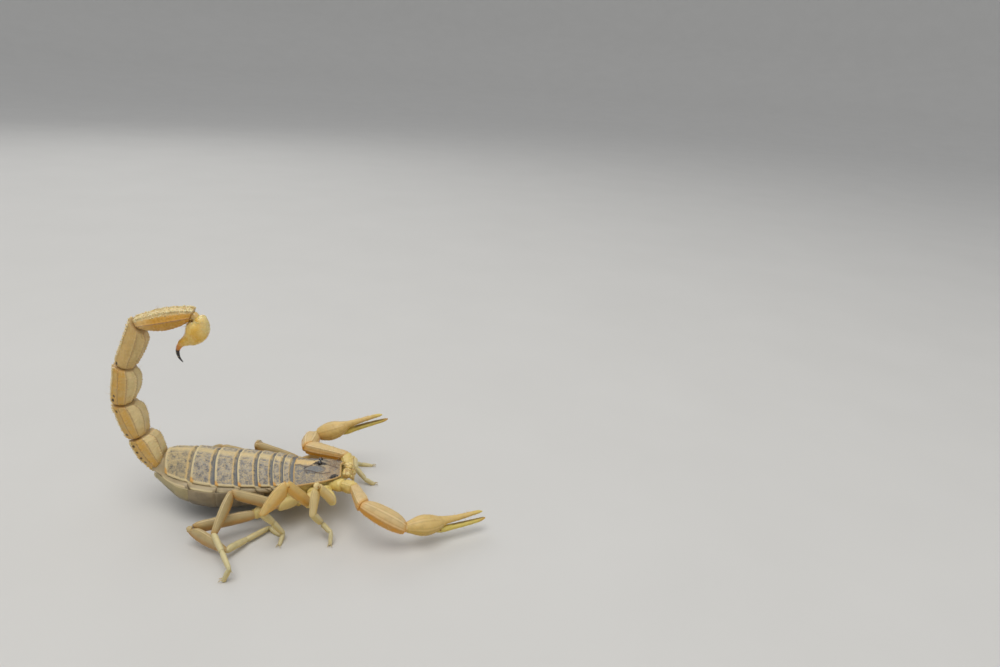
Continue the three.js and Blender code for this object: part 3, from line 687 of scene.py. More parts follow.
CARAPACE = [  # x, half width, height of the ridge, height of the side margin
    [0.1, 1.9, 7.5, 6.75], [-0.5, 2.35, 7.65, 6.65], [-1.7, 2.8, 7.75, 6.45],
    [-3.1, 3.1, 7.75, 6.25], [-4.6, 3.4, 7.75, 6.1], [-6.0, 3.65, 7.8, 5.95],
    [-6.86, 3.72, 7.85, 5.95]]
HEAD_BOWS = (0.1, 0.5)  # how far the sides lie ahead of the middle, front and rear
HEAD_KEELS = [  # lines of x and distance from the middle
    [[-0.3, 1.0], [-1.5, 0.66], [-2.4, 0.36], [-3.1, 0.24], [-3.9, 0.3]],
    [[-4.1, 0.52], [-4.7, 0.95], [-5.4, 1.0], [-6.0, 0.7]],
    [[-5.9, 0.72], [-6.9, 0.95]],
    [[-1.4, 1.75], [-2.6, 2.0], [-4.0, 1.75], [-5.0, 1.6]],
]
BACK = [
    [-6.9, 3.72, 7.9, 6.1], [-8.1, 4.0, 8.1, 6.15], [-9.6, 4.25, 8.35, 6.15],
    [-11.8, 4.5, 8.6, 6.15], [-14.6, 4.65, 8.8, 6.2], [-17.7, 4.55, 9.05, 6.2],
    [-20.8, 4.1, 9.4, 6.35], [-23.8, 3.2, 9.4, 6.6], [-25.5, 2.35, 9.1, 6.9]]
BACK_EDGES = [-6.9, -8.1, -9.6, -11.8, -14.6, -17.7, -20.8, -25.3]
BACK_BOWS = [0.5, 0.6, 0.65, 0.8, 0.8, 0.65, 0.1, 0.3]
BELLY = [  # x, half width, depth of the keel line, height of the flank
    [-7.2, 3.5, 3.3, 5.0], [-9.9, 4.2, 2.5, 4.7], [-12.9, 4.85, 1.6, 4.6],
    [-15.6, 5.15, 1.2, 4.6], [-18.9, 5.2, 1.2, 4.7], [-22.6, 4.4, 2.1, 5.1],
    [-24.5, 3.4, 3.5, 5.7], [-26.3, 2.3, 5.0, 6.4]]
BELLY_WRAP = 103  # degrees from the keel line to a belly plate's margin
BELLY_EDGES = [-10.4, -11.8, -13.7, -17.0, -21.4, -26.3]
BELLY_BOWS = [0, 0, 0, 0, 0.45, -0.35]
# where each fold of the flank starts under the back and where it ends at the belly
FLANK_CREASES = [(-7.7, -8.6), (-8.9, -9.5)] + [(b - 0.1 + w, e) for b, w, e in zip(
    BACK_EDGES[2:], BACK_BOWS[2:], BELLY_EDGES)]


def head_plate(finish):
    """The carapace: eye hill, lyre-shaped keels, grains and a fine raised edge."""
    piece = Piece("carapace_plate")
    front, rear = CARAPACE[0][0], CARAPACE[-1][0]

    def place(u, v):
        lane = 2 * u - 1
        bow = HEAD_BOWS[0] + (HEAD_BOWS[1] - HEAD_BOWS[0]) * v
        x = front + (rear - front) * v + bow * lane ** 2 - 0.12 * bell(lane, 0.25) * (1 - v) ** 6
        wide, ridge, margin = read(CARAPACE, x)
        y = lane * wide
        off = abs(y)
        z = margin + (ridge - margin) * (1 - lane ** 2)
        z += 0.34 * bell(x - EYES.x + 0.15, 0.95) * bell(y, 0.55)
        crest = 0.0
        for line in HEAD_KEELS:
            ends = smooth(line[-1][0] - 0.15, line[-1][0] + 0.1, x)
            ends *= 1 - smooth(line[0][0] - 0.1, line[0][0] + 0.15, x)
            if ends:
                crest = max(crest, ends * bell(off - read(line, x)[0], 0.13))
        z += 0.12 * crest
        z -= 0.12 * bell(y, 0.2) * smooth(-4.2, -4.9, x)
        z -= 0.16 * bell(off - 1.35, 0.4) * bell(x + 2.6, 1.1)
        z -= 0.14 * bell(off - 2.3, 0.5) * bell(x + 5.0, 0.5)
        inside = (1 - smooth(0.9, 0.98, abs(lane))) * smooth(0.0, 0.05, v) * (1 - smooth(0.93, 0.98, v))
        grain = granule(Vector((x, y, 0)), 0.34) * inside
        z += 0.055 * grain * (1 - bell(off - 0.42, 0.2) * bell(x - EYES.x, 0.5))
        z += 0.05 * smooth(0.95, 0.985, abs(lane)) + 0.05 * smooth(0.955, 0.985, v)
        mask = bell(off - 0.46, 0.17) * smooth(-4.6, -3.9, x) * (1 - smooth(-2.3, -1.7, x))
        mask = max(mask, bell(off - 2.35 + 0.5 * (x + 1.2), 0.35) * bell(x + 0.9, 0.6))
        return Vector((x, y, z)), {"reach": v, "flank": lane, "keel": crest, "spot": grain,
                                   "soft": mask, "back": 1.0}

    piece.shell(120, 100, place, 0.22)
    piece.done(finish, "shell_dark", "carapace")


def eyes(finish):
    """The two median eyes on their hill, and a row of small eyes at each front corner."""
    for name, side in (("right", -1), ("left", 1)):
        piece = Piece(f"median_eye_{name}")
        seat = Matrix.Translation((EYES.x, side * 0.42, EYES.z))
        bmesh.ops.create_uvsphere(piece.bm, u_segments=32, v_segments=20, radius=0.36, matrix=seat)
        piece.done(finish, "eye", f"eye_{name}")
    piece = Piece("corner_eyes")
    for side in (-1, 1):
        for x, size in ((-0.32, 0.13), (-0.66, 0.15), (-1.04, 0.15), (-1.38, 0.08), (-1.6, 0.07)):
            wide, ridge, margin = read(CARAPACE, x)
            at = Vector((x, side * 0.9 * wide, margin + (ridge - margin) * 0.2))
            piece.bead(at, size, 1.0, faces=3)
    piece.done(finish, "eye")


def back_plate(i, finish):
    """One tergite: smooth front band, keels, grains growing to the rear, and a raised edge."""
    piece = Piece(f"back_plate_{i + 1}")
    front, rear = BACK_EDGES[i] + 0.12, BACK_EDGES[i + 1] - (0.2 if i < 6 else -0.1)
    bows = BACK_BOWS[i:i + 2]
    band = min(0.85 / (front - rear), 0.45)  # the smooth front part of the plate
    last = i == 6
    keels = ((0.95, 0.14), (2.0, 0.14)) if last else ((1.3, 0.05 + 0.015 * i),)
    rows = round((front - rear) / 0.075)

    def place(u, v):
        lane = 2 * u - 1
        x = front + (rear - front) * v + (bows[0] + (bows[1] - bows[0]) * v) * lane ** 2
        wide, ridge, margin = read(BACK, x)
        y = lane * wide
        z = margin + (ridge - margin) * (1 - abs(lane) ** 2.2)
        z += 0.12 * v - 0.2 * (1 - smooth(band * 0.75, band * 1.05, v))
        z += 0.05 * bell(v - band * 1.15, 0.05)
        run = smooth(band, band + 0.14, v) * (1 - smooth(0.86, 0.94, v) * last)
        crest = bell(y, 0.14) * run
        z += (0.12 if not last else 0.05) * crest
        for off, lift in keels:
            line = bell(abs(y) - off - 0.35 * (v - 0.6) ** 2 * (2 if last else 1), 0.13)
            line *= smooth(0.35, 0.5, v) * (1 - smooth(0.88, 0.95, v))
            z += lift * line * (0.75 + 0.25 * math.cos(v * 55))
            crest = max(crest, line)
        z -= 0.07 * bell(abs(y) - 0.62, 0.3) * run
        inside = smooth(band, band + 0.1, v) * (1 - smooth(0.88, 0.94, v))
        inside *= 1 - smooth(0.92, 0.98, abs(lane))
        grain = granule(Vector((x, y, 0)), 0.33, i * 7.3) * inside
        z += 0.07 * grain * (0.45 + 0.55 * smooth(0.3, 0.9, v))
        z += 0.06 * smooth(0.88, 0.94, v) + 0.05 * smooth(0.95, 0.985, abs(lane))
        share = 0.2 * v / band if v < band else 0.2 + 0.8 * (v - band) / (1 - band)
        corner = smooth(0.62, 0.12, (1 - abs(lane)) * wide) * smooth(band * 0.4, band * 2, v)
        corner *= bell((v - 1) * (front - rear), 0.55)
        return Vector((x, y, z)), {"reach": share, "flank": lane, "keel": crest, "spot": grain,
                                   "soft": corner, "back": 1.0}

    piece.shell(132, rows, place, 0.2)
    piece.done(finish, "shell_grey", f"tergite_{i + 1}")


def belly_plate(i, finish):
    """One sternite: a smooth trough wrapped up over the flanks, with a dark slit of a breathing
    hole on each side of the first four."""
    piece = Piece(f"belly_plate_{i + 3}")
    front, rear = BELLY_EDGES[i] + 0.04, BELLY_EDGES[i + 1] - (0.1 if i < 4 else -0.1)
    bows = BELLY_BOWS[i:i + 2]
    slits, last = i < 4, i == 4

    def place(u, v):
        turn = math.radians((1 - 2 * u) * BELLY_WRAP)
        lane = math.sin(turn)
        x = front + (rear - front) * v + (bows[0] + (bows[1] - bows[0]) * v) * lane ** 2
        wide, keel, flank = read(BELLY, x)
        inset = 0.12 * (1 - smooth(0.0, 0.16, v)) - 0.05 * v
        around = abs(math.degrees(turn))
        slant = (around - 48) * 0.004
        hole = bell(v - 0.5 + slant, 0.045) * bell(around - 48, 7) * slits
        lines = bell(around - 18, 2.5) * smooth(0.3, 0.5, v) * last
        inset += 0.1 * hole - 0.07 * lines + 0.05 * smooth(0.95, 0.99, v)
        inset -= 0.04 * smooth(0.93, 0.99, around / BELLY_WRAP)
        edge = max(smooth(0.95, 0.985, v), smooth(0.965, 0.995, around / BELLY_WRAP))
        point = Vector((x, lane * (wide - inset), flank + (keel - flank + inset) * math.cos(turn)))
        # soft here is painted shade at the front of the plate, where it lies under the plate ahead
        return point, {"reach": v, "flank": lane, "keel": edge * (0.4 + 0.5 * last), "spot": hole,
                       "soft": bell(v * (front - rear), 0.2), "back": -math.cos(turn)}

    piece.shell(120, 40, place, 0.2)
    piece.done(finish, "flank", f"sternite_{i + 3}")


def body_skin(finish):
    """The one soft skin of the trunk: under the back plates, out over the flanks in pleats
    that follow the plates' edges, and round inside the belly plates."""
    piece = Piece("body_skin")
    front, rear = -7.0, -26.3

    def place(u, v):
        x = front + (rear - front) * v
        wide, ridge, margin = read(BACK, x)
        low_wide, keel, flank = read(BELLY, x)
        side = math.copysign(1.0, 0.5 - u)
        turn = abs(2 * u - 1)  # 0 along the back, 1 along the belly
        root = smooth(0.965, 1, v)  # the end that runs up into the first ring of the tail
        ends = 1 - 0.24 * root - 0.2 * (1 - smooth(0, 0.05, v))
        if turn < 0.36:  # under the back plates
            lane = 0.95 * turn / 0.36
            y, z = lane * wide, margin + (ridge - margin) * (1 - lane ** 2.2) - 0.5
            height = 1.0
        elif turn > 0.66:  # inside the belly plates
            around = math.radians(BELLY_WRAP - 6) * (1 - turn) / 0.34
            y, z = math.sin(around) * (low_wide - 0.4), flank + (keel - flank + 0.4) * math.cos(around)
            height = 0.0
        else:
            height = 1 - (turn - 0.36) / 0.3
            around = math.radians(BELLY_WRAP - 6)
            top = Vector((0.95 * wide, margin + (ridge - margin) * (1 - 0.95 ** 2.2) - 0.5))
            foot = Vector((math.sin(around) * (low_wide - 0.4),
                           flank + (keel - flank + 0.4) * math.cos(around)))
            y, z = foot.lerp(top, height)
        out = max(0.0, 4 * height * (1 - height)) ** 0.5
        edge = min(abs(x - b * height - a * (1 - height)) for a, b in FLANK_CREASES)
        crease = bell(edge, 0.1)
        behind = smooth(-12, -20, x)
        bulge = 0.5 + 0.12 * bell(x + 9, 2.5) - 0.16 * smooth(-23.5, -26, x)
        swell = bulge * (1 - 0.3 * bell(edge, 0.4)) - 0.12 * crease
        fold = bell(height - 0.55, 0.2) * smooth(0.1, 0.6, edge) * (0.3 + 0.7 * behind)
        y += swell * out + 0.07 * fold * out
        y += 0.03 * out * noise.noise(Vector((x * 0.9, height * 4, side * 3)))
        middle = 6 + 0.5 * root
        point = Vector((x - 0.8 * root, side * y * ends, middle + (z - 6) * ends))
        if v in (0, 1):
            point = Vector((x - 0.8 * root, 0, middle))
        # soft here is painted shade along the pleat creases
        return point, {"reach": v, "flank": out, "back": 2 * height - 1, "keel": fold * out,
                       "soft": crease * out, "spot": 0.0}

    piece.sheet(144, 300, place)
    piece.done(finish, "flank", "soft_body")


# ---- legs, chest, combs and jaws ----

LEGS = {  # hip, end of the trochanter, five lengths, depth of thigh and shin
    1: ((-1.7, 3.3, 4.8), (-0.5, 5.6, 5.0), (4.4, 4.5, 2.8, 2.3, 1.8), (0.6, 0.8)),
    2: ((-3.6, 3.8, 4.6), (-3.8, 6.3, 5.0), (5.3, 5.0, 3.2, 2.7, 2.0), (0.76, 1.05)),
    3: ((-6.0, 4.1, 3.8), (-7.9, 6.2, 4.3), (6.72, 5.8, 3.6, 3.17, 2.1), (0.78, 1.05)),
    4: ((-8.9, 4.5, 3.5), (-11.2, 6.9, 3.2), (8.75, 6.65, 3.8, 3.8, 2.25), (0.84, 1.04))}
STANCE = {  # yaw and pitch of thigh, shin, tibia and basitarsus, and the yaw of the last joint
    "r1": ((-138, 55), (-121, -79), (51, -56), (-47, -8), -88),
    "r2": ((-137, 53), (-149, -46), (65, -53), (28, -60), -95),
    "r3": ((-172, 20.5), (-107, -38), (-57, -8), (-57, -12), -172),
    "r4": ((-161.5, -5), (-27, -9), (61, -10), (51, -2), -31),
    "l1": ((138, -21), (18, -10), (-78, -1), (-22, -44), 0),
    "l2": ((150, -28), (45, -18), (0, -6), (0, -7), 0),
    "l3": ((180, 21), (94, -36), (-40, -25), (0, -25), 0),
    "l4": ((-176, 18), (150, -36), (62, -14), (25, -9), 20)}
HIP_ROOTS = {1: (-2.4, 1.0, 4.4), 2: (-3.6, 0.9, 4.1), 3: (-4.9, 0.9, 3.8), 4: (-5.8, 1, 3.6)}
LEG_KEELS = [(side * angle, lift, 9, beads, 0.1, 0.92) for side in (1, -1)
             for angle, lift, beads in ((15, 0.07, 24), (163, 0.06, 28))]
JAW_HAND = (  # x, distance from the middle, z, half width, half height
    (0.35, 0.88, 6.62, 0.6, 0.5), (0.65, 0.9, 6.64, 0.76, 0.68),
    (1.1, 0.88, 6.58, 0.76, 0.7), (1.5, 0.84, 6.4, 0.58, 0.56))
JAW_FINGER = (  # x, distance from the middle, z, half width
    (1.2, 0.6, 6.55, 0.3), (1.6, 0.57, 6.25, 0.29), (1.82, 0.53, 5.85, 0.2), (1.92, 0.5, 5.45, 0.06))
JAW_HINGED_FINGER = (
    (1.2, 1.14, 6.4, 0.3), (1.65, 1.16, 6.15, 0.28), (1.86, 1.1, 5.75, 0.19),
    (1.96, 0.98, 5.35, 0.06))
LEG_SHELL = {"ease": 0.12, "sides": 40, "keels": LEG_KEELS, "hollow": 0.02, "rough": 0.03}
# share of the length, half width and half height; on thigh and shin, the share of their depth
HIP_RING = ((-0.04, 0.5, 0.56), (0.2, 0.68, 0.8), (0.6, 0.72, 0.86), (0.92, 0.6, 0.8),
            (1.05, 0.42, 0.6))
THIGH = ((-0.02, 0.4, 0.62), (0.08, 0.47, 0.86), (0.3, 0.5, 1.02), (0.72, 0.5, 1.02),
         (0.92, 0.48, 0.92))
SHIN = ((0.06, 0.43, 0.72), (0.16, 0.48, 0.92), (0.36, 0.53, 1.02), (0.7, 0.48, 0.82))
bristles = []  # root, tip and thickness of each bristle, gathered as the parts are made


def leg_joints(key):
    number, side = int(key[1]), (-1 if key[0] == "r" else 1)
    hip, elbow, lengths, _ = LEGS[number]
    joints = [mirrored(p, side) for p in (HIP_ROOTS[number], hip, elbow)]
    for (yaw, pitch), length in zip(STANCE[key][:4], lengths):
        joints.append(joints[-1] + stride(length, yaw, pitch))
    height, length = joints[-1].z, lengths[4]
    drop = math.degrees(math.asin(min(height / length, 0.95)))
    joints.append(joints[-1] + stride(length, STANCE[key][4], -drop))
    return joints


def leg(key, finish, foot_finish):
    """One walking leg in three pieces: hip ring and thigh, shin, and the jointed foot."""
    joints = leg_joints(key)
    thigh, shin = LEGS[int(key[1])][3]
    ways = [heading(joints, i) for i in range(7)]
    piece = Piece(f"leg_{key}_thigh")
    piece.segment(joints, 1, HIP_RING, caps=(0.2, 0.35), rows=24, rough=0.04, ease=0.1, soft=0.8)
    piece.segment(joints, 2, [(s, w, thigh * h) for s, w, h in THIGH] + [(1, 0.38, 0.5)],
                  rows=60, caps=(0.3, 0.2), **LEG_SHELL)
    piece.neck(*bend(joints, 3), 0.34, 0.42, soft=0.0)
    piece.neck(*bend(joints, 2), 0.4, 0.52, soft=0.5)
    hinge_spots(piece, joints[3], ways[2], 0.33)
    piece.done(finish, "leg", f"leg_{key}_femur")

    piece = Piece(f"leg_{key}_shin")
    piece.segment(joints, 3, [(-0.02, 0.34, 0.46), *((s, w, shin * h) for s, w, h in SHIN),
                              (0.92, 0.43, 0.56), (1, 0.36, 0.44)],
                  rows=56, caps=(0.2, 0.14), **LEG_SHELL)
    piece.neck(*bend(joints, 4), 0.32, 0.36, soft=0.0)
    hinge_spots(piece, joints[4], ways[3], 0.31)
    piece.done(finish, "leg", f"leg_{key}_patella")

    piece = Piece(f"leg_{key}_tarsus")
    foot(piece, key, joints, ways)
    piece.done(foot_finish, "leg", f"leg_{key}_foot")


def hinge_spots(piece, joint, way, out):
    """The two brown hinge knobs at the sides of a joint."""
    side = way.cross(UP).normalized()
    for sign in (-1, 1):
        piece.bead(joint - way * 0.22 + side * sign * out, 0.13, 0.8, side, faces=2, spot=1.0)


def foot(piece, key, joints, ways):
    """Tibia, basitarsus and telotarsus, their spurs, rows of bristles and two claws."""
    sizes = ((0.4, 0.52, 0.36, 0.46), (0.34, 0.43, 0.3, 0.38), (0.29, 0.35, 0.26, 0.3))
    for i, (wide, high, end_wide, end_high) in enumerate(sizes):
        piece.segment(joints, 4 + i, [(-0.02, wide * 0.72, high * 0.7), (0.12, wide, high),
                                      (0.5, wide, high), (0.9, end_wide, end_high),
                                      (1, end_wide * 0.85, end_high * 0.8)],
                      sides=24, rows=24, caps=(0.12, 0.12), floor=0.0, rough=0.03)
        if i < 2:
            piece.neck(*bend(joints, 5 + i), 0.26, 0.3, floor=0.02, soft=0.0)
    if key[1] in "34":
        spur(piece, joints[5], ways[4], 1.0, 0.0)
    for lean in (-0.5, 0.5):
        spur(piece, joints[6], ways[5], 0.62, lean)
    tip, way = joints[7], ways[6].copy()
    way.z = 0
    way.normalize()
    side = way.cross(UP)
    for sign in (-1, 1):
        start = tip + side * sign * 0.1 + UP * 0.14 - ways[6] * 0.15
        line = [start, start + way * 0.3 + side * sign * 0.1 + UP * 0.12,
                start + way * 0.55 + side * sign * 0.17 + UP * 0.02,
                start + way * 0.68 + side * sign * 0.2 - UP * 0.1]
        sizes = (0.075, 0.065, 0.045, 0.015)
        piece.limb([(at, s, s) for at, s in zip(line, sizes)], sides=10, rows=10, power=2.0,
                   caps=(0.02, 0.02), floor=0.01, spot=0.55)
    for i, count, length in ((4, 5, 0.7), (5, 7, 0.55), (6, 8, 0.42)):
        for k in range(count):
            at = joints[i].lerp(joints[i + 1], 0.2 + 0.7 * k / count)
            out = (ways[i].cross(UP).normalized() * (-1 if k % 2 else 1) * 0.8 - UP * 0.5).normalized()
            root = at + out * 0.28
            tip_at = root + (out + ways[i] * 0.6).normalized() * length
            if min(root.z, tip_at.z) > 0.08:
                bristles.append((root, tip_at, 0.022))


def spur(piece, joint, way, length, lean):
    """A pointed spur under the end of a foot joint, held above the floor."""
    side = way.cross(UP).normalized()
    root = joint - way * 0.15 - UP * 0.2 + side * 0.12 * lean
    tip = root + (way * 0.75 - UP * 0.55 + side * lean).normalized() * length
    tip.z = max(tip.z, 0.0)
    root.z = max(root.z, 0.1)
    piece.spike(root, tip, 0.11, 10, spot=0.2)


def chest(finish):
    """The underside: eight hips, the arms' hips with their mouth lobes, sternum and gill lid."""
    piece = Piece("chest_plates")
    piece.lump(((0.6, 0, 5.1, 1.6, 0.6), (-0.6, 0, 5.1, 2.0, 0.95), (-3.0, 0, 5.0, 2.45, 1.35),
                (-5.4, 0, 4.9, 2.75, 1.55), (-7.2, 0, 4.8, 2.9, 1.6)),
               sides=48, rows=40, power=2.6, rough=0.06)
    for side in (-1, 1):
        for number, (hip, elbow, _, _) in LEGS.items():
            root, hip, beyond = (mirrored(p, side) for p in (HIP_ROOTS[number], hip, elbow))
            girth = 0.78 + 0.05 * number
            piece.segment([root, hip, beyond], 0,
                          [(0, 0.66, 0.7), (0.25, girth * 0.95, girth), (0.6, girth, girth + 0.08),
                           (0.85, girth, girth + 0.1), (1, girth - 0.1, girth - 0.06)],
                          ease=0.06, sides=36, rows=30, caps=(0.2, 0.16), rough=0.06,
                          keels=[(75, 0.08, 10, 0, 0.1, 0.95), (-75, 0.08, 10, 0, 0.1, 0.95)])
            piece.neck(*bend([root, hip, beyond], 1), 0.6, 0.66)
        arm = ARMS["r" if side < 0 else "l"]
        hip = mirrored(ARM_HIP, side)
        root = mirrored((-2.2, 1.3, 5.0), side)
        piece.segment([root, hip, hip + stride(*arm["trochanter"])], 0,
                      [(0, 0.7, 0.7), (0.4, 0.86, 0.86), (0.8, 0.92, 0.94), (1, 0.8, 0.8)],
                      ease=0.06, sides=36, rows=30, rough=0.08)
        for x, y, z, long, wide in ((0.9, 0.75, 4.9, 1.5, 0.55), (0.2, 0.55, 4.25, 1.5, 0.45)):
            end, start = mirrored((x, y, z), side), mirrored((x - long, y + 0.3, z), side)
            piece.limb([(start, wide, 0.4), (start.lerp(end, 0.6), wide, 0.42), (end, 0.25, 0.2)],
                       sides=20, rows=12, caps=(0.2, 0.25), rough=0.05)
    for side in (-1, 1):
        piece.lump(((-7.3, 0.55, 3.3, 0.45, 0.25), (-8.0, 0.55, 3.2, 0.62, 0.3),
                    (-8.6, 0.55, 3.25, 0.45, 0.22)), side, sides=24, rows=14, caps=(0.2, 0.2))
    piece.lump(((-5.2, 0, 3.75, 0.8, 0.55), (-6.4, 0, 3.45, 0.95, 0.5),
                (-7.2, 0, 3.45, 0.7, 0.4)), sides=28, rows=14, caps=(0.25, 0.25))
    piece.done(finish, "leg", "chest")


def combs(finish):
    """The two feeling combs behind the legs, each with a row of teeth."""
    piece = Piece("comb_pair")
    piece.lump(((-8.9, 0, 3.45, 1.05, 0.36), (-9.9, 0, 3.4, 0.95, 0.3)),
               sides=28, rows=10, power=2.6)
    line = [[0, -9.3, 0.4, 3.2], [1, -10.0, 1.8, 1.8], [2, -11.0, 3.3, 1.68], [3, -11.8, 4.5, 2.1]]
    for side in (-1, 1):
        spine = [mirrored(read(line, k), side) for k in (0, 0.5, 1, 1.5, 2, 2.5, 3)]
        girth = (0.3, 0.4, 0.42, 0.4, 0.36, 0.3, 0.2)
        piece.limb([(at, g, 0.2) for at, g in zip(spine, girth)], sides=24, rows=40,
                   caps=(0.15, 0.15), rough=0.03)
        teeth = 26
        for k in range(teeth):
            share = 3 * (k + 0.8) / (teeth + 0.6)
            at = mirrored(read(line, share), side)
            way = Vector((-1, -side * 0.35, -0.12)).normalized()
            size = 0.62 - 0.06 * share
            piece.limb([(at + way * 0.22, 0.07, 0.07), (at + way * (0.3 + size * 0.5), 0.085, 0.085),
                        (at + way * (0.3 + size), 0.05, 0.05)], sides=8, rows=4, power=2.0,
                       caps=(0.05, 0.05))
    piece.done(finish, "leg", "pectines")


def jaws(finish):
    """The two jaws, each with a fixed and a hinged finger, teeth and a brush of bristles."""
    for name, side in (("right", -1), ("left", 1)):
        piece = Piece(f"jaw_{name}")
        piece.lump(JAW_HAND, side, sides=40, rows=36, caps=(0.15, 0.3), rough=0.07)
        for line, inward_side in ((JAW_FINGER, side), (JAW_HINGED_FINGER, -side)):
            piece.lump([(*row, row[3]) for row in line], side, sides=18, rows=16,
                       up=Vector((1, 0, 0)), caps=(0.1, 0.05), spot=0.2)
            for share in (0.45, 0.65, 0.8):
                k = share * (len(line) - 1)
                a, b = line[int(k)], line[int(k) + 1]
                at = mirrored([a[n] + (b[n] - a[n]) * (k % 1) for n in range(3)], side)
                inward = Vector((0.1, inward_side, -0.3)).normalized()
                piece.spike(at, at + inward * 0.3, 0.08, 8, spot=0.9)
        piece.done(finish, "honey", f"chelicera_{name}")
        for k in range(9):
            root = mirrored((0.9 + 0.09 * k, 0.3 + 0.05 * (k % 3), 6.15 - 0.03 * k), side)
            tip = root + Vector((0.25, -side * 0.12, -0.35))
            bristles.append((root, tip, 0.02))


# ---- claw arms ----

ARM_HIP = (0.7, 2.6, 5.6)
ARMS = {  # length, yaw and pitch of each link; set-back of the wrist, roll and sag of the claw
    "r": {"trochanter": (2.2, -37, 12), "femur": (5.9, -70, 8), "patella": (6.7, -2, -30),
          "chela": (12.2, 23, -4), "wrist": 0.4, "roll": -14, "bow": 0.3},
    "l": {"trochanter": (2.0, 112, 27), "femur": (6.1, 173, 9), "patella": (6.7, 94, -14),
          "chela": (12.5, -5, 21), "wrist": 1.15, "roll": 14, "bow": 0.0}}
# share of the length, half width and half height of each arm link
ARM_RING = ((-0.05, 0.66, 0.68), (0.2, 0.84, 0.84), (0.5, 0.92, 0.92), (0.8, 0.86, 0.86),
            (1.05, 0.66, 0.66))
ARM_FEMUR = ((-0.01, 0.52, 0.55), (0.08, 0.66, 0.68), (0.25, 0.77, 0.8), (0.5, 0.86, 0.9),
             (0.82, 0.98, 1.0), (0.94, 0.92, 0.94), (1, 0.74, 0.74))
ARM_PATELLA = ((-0.01, 0.68, 0.72), (0.06, 0.88, 0.9), (0.16, 1.08, 1.1), (0.35, 1.28, 1.27),
               (0.65, 1.32, 1.3), (0.84, 1.14, 1.14), (0.94, 0.94, 0.94), (1, 0.76, 0.76))
CLAW_LENGTH = 12
HAND = [  # reach, rise, half width, half height
    (0, 0, 0.62, 0.66), (0.8, 0, 0.86, 0.92), (1.6, 0, 1.18, 1.22), (2.4, 0, 1.4, 1.43),
    (3.2, 0, 1.45, 1.46), (4.2, 0.04, 1.3, 1.3), (5.1, 0.16, 1.0, 0.97), (5.9, 0.34, 0.68, 0.68),
    (6.8, 0.43, 0.52, 0.52), (8.0, 0.5, 0.45, 0.43), (10.0, 0.62, 0.36, 0.33),
    (11.4, 0.62, 0.26, 0.25), (12.0, 0.54, 0.09, 0.09)]
FINGER = [
    (4.3, -0.72, 0.42, 0.34), (4.9, -0.9, 0.5, 0.4), (5.8, -0.88, 0.52, 0.47),
    (7.2, -0.74, 0.47, 0.43), (9.0, -0.66, 0.43, 0.39), (10.8, -0.64, 0.35, 0.33),
    (12.0, -0.62, 0.25, 0.24), (12.5, -0.54, 0.08, 0.08)]


def corner_keels(angles, lift, beads):
    return [(angle, lift, 9, beads, 0.08, 0.95) for angle in angles]


